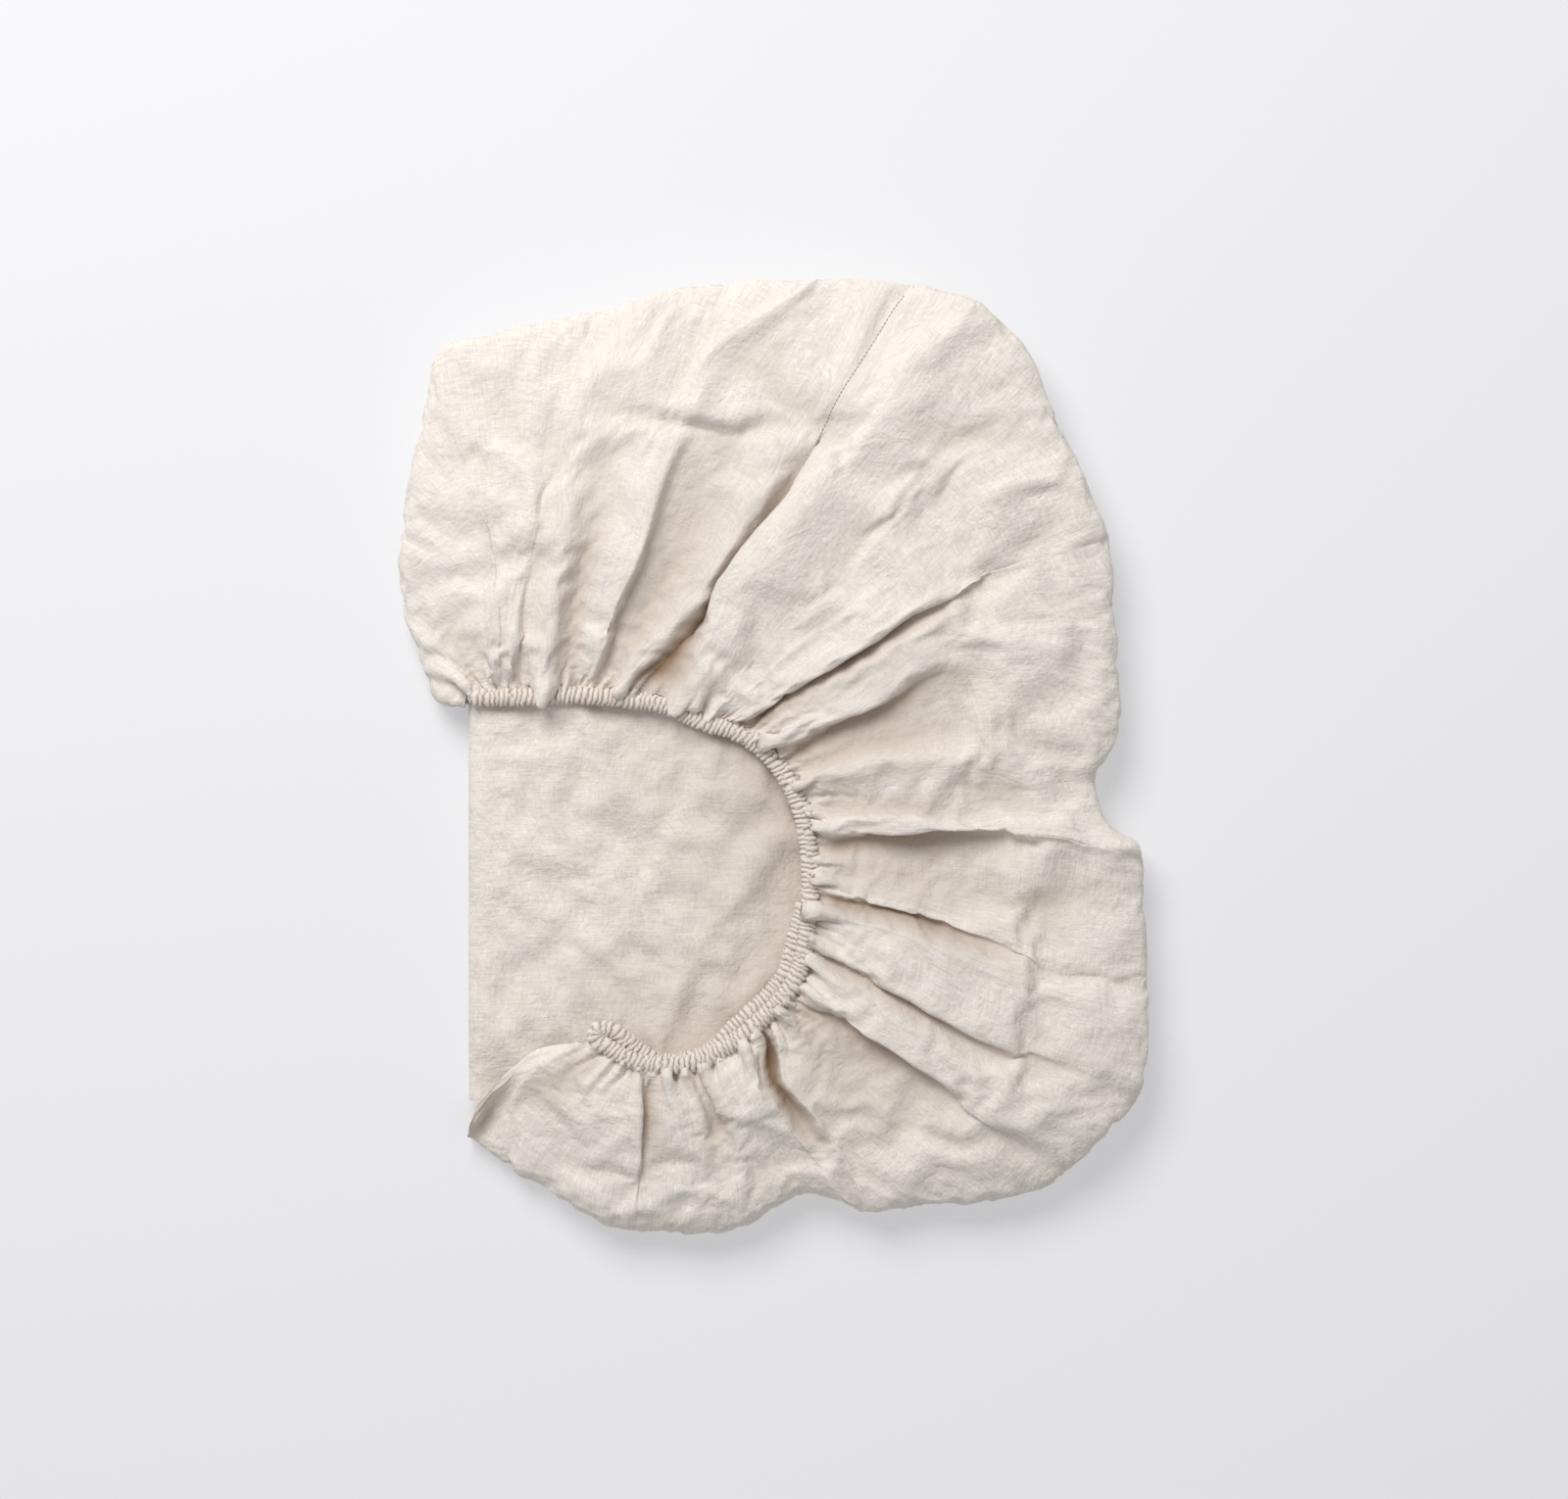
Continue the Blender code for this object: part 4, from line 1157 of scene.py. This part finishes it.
@dataclass
class ElasticCasing:
    """The ruched casing: one strand round the arch, through its hairpin and back.

    Heights are places along the mouth and levels there. The returning run has the place, the
    distance inside the mouth's edge, and the level.
    """

    half_width: float = 5.3
    half_height: float = 3.8
    gap: float = 0.7
    start: float = 9.0
    hairpin: float = 496.0
    spacing: float = 6.0
    sight: float = 1.5
    pleat: float = 3.15
    rings_to_pleat: int = 7
    sides: int = 18
    pleat_roundness: float = 0.4
    thinnest: float = 0.68
    bulging: float = 0.36
    cloth_to_length: float = 2.6
    heights: tuple[tuple[float, float], ...] = (
        (0, 30), (14, 34), (30, 34.6), (270, 34.8), (330, 38), (430, 41.2), (470, 41), (500, 38),
    )
    returning: tuple[tuple[float, float, float], ...] = (
        (292, 7.0, 32.0), (306, 10.5, 32.2), (330, 12.8, 32.4), (390, 12.6, 32.6), (416, 8.4, 33.0),
        (450, 7.6, 34.0), (468, 12.0, 35.0), (490, 15.5, 36.6),
    )
    ruching: Crumple = Crumple(41)

    def line(self) -> Array:
        """Return the strand's middle line."""
        mouth = smooth_line(MOUTH)

        def inside(distance: Array, offset: Array) -> Array:
            """Return points beside the mouth's edge."""
            before, after = (place_along(mouth, distance + step) for step in (-self.sight, self.sight))
            ahead = unit(after - before)
            inward = np.stack([ahead[:, 1], -ahead[:, 0]], -1)
            return place_along(mouth, distance) + offset[:, None] * inward

        out = np.arange(self.start, self.hairpin, self.spacing)
        main = inside(out, np.full(len(out), self.half_width + self.gap))
        main_height = steady_curve(*np.transpose(self.heights), out)
        back = np.arange(self.hairpin - self.spacing, self.returning[0][0], -self.spacing)
        along, aside, height = np.transpose(self.returning)
        strand = inside(back, steady_curve(along, aside, back))
        strand_height = steady_curve(along, height, back)
        first, last = main[-1], strand[0]
        turn = (first + last) / 2 + unit(first - main[-2]) * np.linalg.norm(last - first) / 2
        rise = np.r_[main_height, (main_height[-1] + strand_height[0]) / 2, strand_height]
        return smooth_line(np.column_stack([np.vstack([main, turn[None], strand]), rise]))

    def make(self, material: Material) -> Object:
        """Build the casing of the given linen."""
        line = self.line()
        total = lengths_along(line)[-1]
        distance = np.linspace(0, total, round(total / self.pleat * self.rings_to_pleat) + 1)
        ahead = place_along(line, np.minimum(distance + self.sight, total))
        ahead = unit(ahead - place_along(line, np.maximum(distance - self.sight, 0)))
        side = unit(np.stack([ahead[:, 1], -ahead[:, 0], np.zeros(len(ahead))], -1))
        up = np.cross(side, ahead)
        angle = np.linspace(0, 2 * math.pi, self.sides + 1)[:, None]
        bulge, lump = self.pleats(distance, angle)
        swell = (self.thinnest + self.bulging * bulge) * lump
        swell = swell * np.minimum(1, np.minimum(distance, total - distance) / 3 + 0.35)
        wide = self.half_width * swell * np.cos(angle)
        high = self.half_height * swell * np.sin(angle)
        surface = place_along(line, distance) + wide[..., None] * side + high[..., None] * up
        around, run = np.broadcast_arrays(angle * self.half_width, distance * self.cloth_to_length)
        # The grooves between pleats are stored as painted shade for the finish
        mesh = cloth_grid(surface, np.stack([around, run], -1), np.clip(1.5 * (1 - bulge) ** 1.2, 0, 1))
        self.close(mesh)
        casing = piece("ruched_casing", mesh, material)
        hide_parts("elastic_casing")
        return casing

    def pleats(self, distance: Array, angle: Array) -> tuple[Array, Array]:
        """Return each point's place between a groove, 0, and a crest, 1, and the pleat's own size."""
        round_x, round_y = 2.2 * np.cos(angle), 2.2 * np.sin(angle)
        lean = self.ruching.noise(round_x + distance / 9, round_y + distance / 31)
        lean = 0.9 * np.cos(angle + 0.4) + 1.25 * lean
        irregular = 1.6 * self.ruching.noise(distance / 14, 3.7)
        irregular = irregular + 1.1 * self.ruching.noise(distance / 5, 8.1)
        count = (distance + irregular + lean) / self.pleat
        bulge = np.abs(np.sin(math.pi * count)) ** self.pleat_roundness
        return bulge, 1.0 + 0.13 * self.ruching.noise(np.floor(count) * 0.73, round_x * 0.6 + 0.5)

    def close(self, mesh: Mesh) -> None:
        """Weld the strand's seam and close its ends."""
        strand = bmesh.new()
        strand.from_mesh(mesh)
        bmesh.ops.remove_doubles(strand, verts=strand.verts, dist=0.01 * MM)
        bmesh.ops.holes_fill(strand, edges=strand.edges, sides=self.sides)
        bmesh.ops.recalc_face_normals(strand, faces=strand.faces)
        strand.to_mesh(mesh)
        strand.free()


@dataclass
class CornerSeam:
    """The stitches of the corner seam, a twin row near the casing and a single row further up."""

    pitch: float = 2.6
    length: float = 2.1
    thickness: float = 0.55
    fold: float = 16.0
    first_station: float = 1.02
    rows: tuple[tuple[float, float], ...] = ((-0.2, 0.3), (0.0, 0.98))
    lift: float = 0.25
    segments: int = 6
    rings: int = 4

    def make(self, pocket: Pocket, material: Material) -> Object:
        """Lay the stitches on the pocket's cloth.

        Args:
            pocket: The pocket, whose surface they follow.
            material: The thread.

        Returns:
            The stitches, one piece.
        """
        across = pushed(pocket.surface, np.full(pocket.shares.shape, self.lift)).transpose(1, 0, 2)
        first = int(np.searchsorted(pocket.stations, self.first_station))
        stitches = bmesh.new()
        for shift, last in self.rows:
            number = np.interp(self.fold + shift, pocket.numbers, np.arange(len(pocket.numbers)))
            line = through_controls(across, np.array([number]))[0][first:]
            distance = lengths_along(line)
            out = pocket.shares[first:, round(float(number))]
            for start in np.arange(0, distance[-1] - self.length, self.pitch):
                if np.interp(start, distance, out) > last:
                    break
                ends = place_along(line, np.array([start, start + self.length]))
                self.add_stitch(stitches, Vector(ends[0]), Vector(ends[1]))
        name = "corner_seam_stitches"
        return piece(name, to_mesh(name, stitches), material)

    def add_stitch(self, stitches: BMesh, start: Vector, end: Vector) -> None:
        """Add one stitch, a short rounded thread between two holes."""
        way = end - start
        turn = way.to_track_quat("Z", "Y").to_matrix().to_4x4()
        size = Matrix.Diagonal((self.thickness, self.thickness, way.length, 1))
        place = Matrix.Scale(MM, 4) @ Matrix.Translation((start + end) / 2) @ turn @ size
        bmesh.ops.create_uvsphere(
            stitches, u_segments=self.segments, v_segments=self.rings, radius=0.5, matrix=place
        )


@dataclass
class Studio:
    """The plain floor, the soft light and the camera above. Its lengths are in metres."""

    picture: tuple[int, int] = (1600, 1530)
    metres_a_pixel: float = 0.000575
    origin_pixel: tuple[float, float] = (786.5, 775.5)
    camera_height: float = 2.4
    middle_height: float = 0.03
    sensor: float = 36.0
    floor_half: float = 12.0
    floor_level: float = -0.0002
    window_power: float = 50.5
    window_size: float = 1.5
    window_place: tuple[float, float, float] = (-0.72, 1.46, 1.95)
    window_colour: tuple[float, float, float] = (1.0, 0.99, 0.98)
    sky_strength: float = 0.41
    sky_colour: Colour = (0.99, 0.985, 0.98, 1.0)

    def make(self, floor_material: Material) -> None:
        """Set up floor, light and camera."""
        bpy.context.scene.view_settings.view_transform = "Standard"
        self.add_floor(floor_material)
        self.add_light()
        self.add_camera()

    def add_floor(self, material: Material) -> None:
        """Add the pale floor."""
        grid = bmesh.new()
        bmesh.ops.create_grid(grid, x_segments=8, y_segments=8, size=self.floor_half)
        floor = placed("floor", to_mesh("floor", grid))
        floor.data.materials.append(material)
        floor.location.z = self.floor_level

    def add_light(self) -> None:
        """Add the soft light from the upper left and the even fill."""
        window = bpy.data.lights.new("window", "AREA")
        window.energy = self.window_power
        window.shape = "DISK"
        window.size = self.window_size
        window.color = self.window_colour
        lamp = placed("window", window)
        lamp.location = self.window_place
        lamp.rotation_euler = Vector(self.window_place).to_track_quat("Z", "Y").to_euler()
        world = bpy.data.worlds.new("fill")
        world.use_nodes = True
        back = world.node_tree.nodes["Background"]
        back.inputs["Color"].default_value = self.sky_colour
        back.inputs["Strength"].default_value = self.sky_strength
        bpy.context.scene.world = world

    def add_camera(self) -> None:
        """Add the camera, straight above the bundle."""
        lens = bpy.data.cameras.new("camera")
        width = self.picture[0] * self.metres_a_pixel
        lens.sensor_width = self.sensor
        lens.lens = self.sensor * (self.camera_height - self.middle_height) / width
        camera = placed("camera", lens)
        x = (self.picture[0] / 2 - self.origin_pixel[0]) * self.metres_a_pixel
        y = (self.origin_pixel[1] - self.picture[1] / 2) * self.metres_a_pixel
        camera.location = (x, y, self.camera_height)
        bpy.context.scene.camera = camera


def main() -> None:
    """Build the dressed sheet and its studio."""
    logging.basicConfig(level=logging.INFO)
    linen, ruched = LinenFinish().make(), CasingFinish().make()
    sheet_parts = FittedSheet()
    sheet = sheet_parts.make(linen)
    casing = ElasticCasing().make(ruched)
    seam = CornerSeam().make(sheet_parts.pocket, ThreadFinish().make())
    for made in (sheet, casing, seam):
        log.info("%s: %d faces", made.name, len(made.data.polygons))
    Studio().make(FloorFinish().make())
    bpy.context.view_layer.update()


if __name__ == "__main__":
    main()
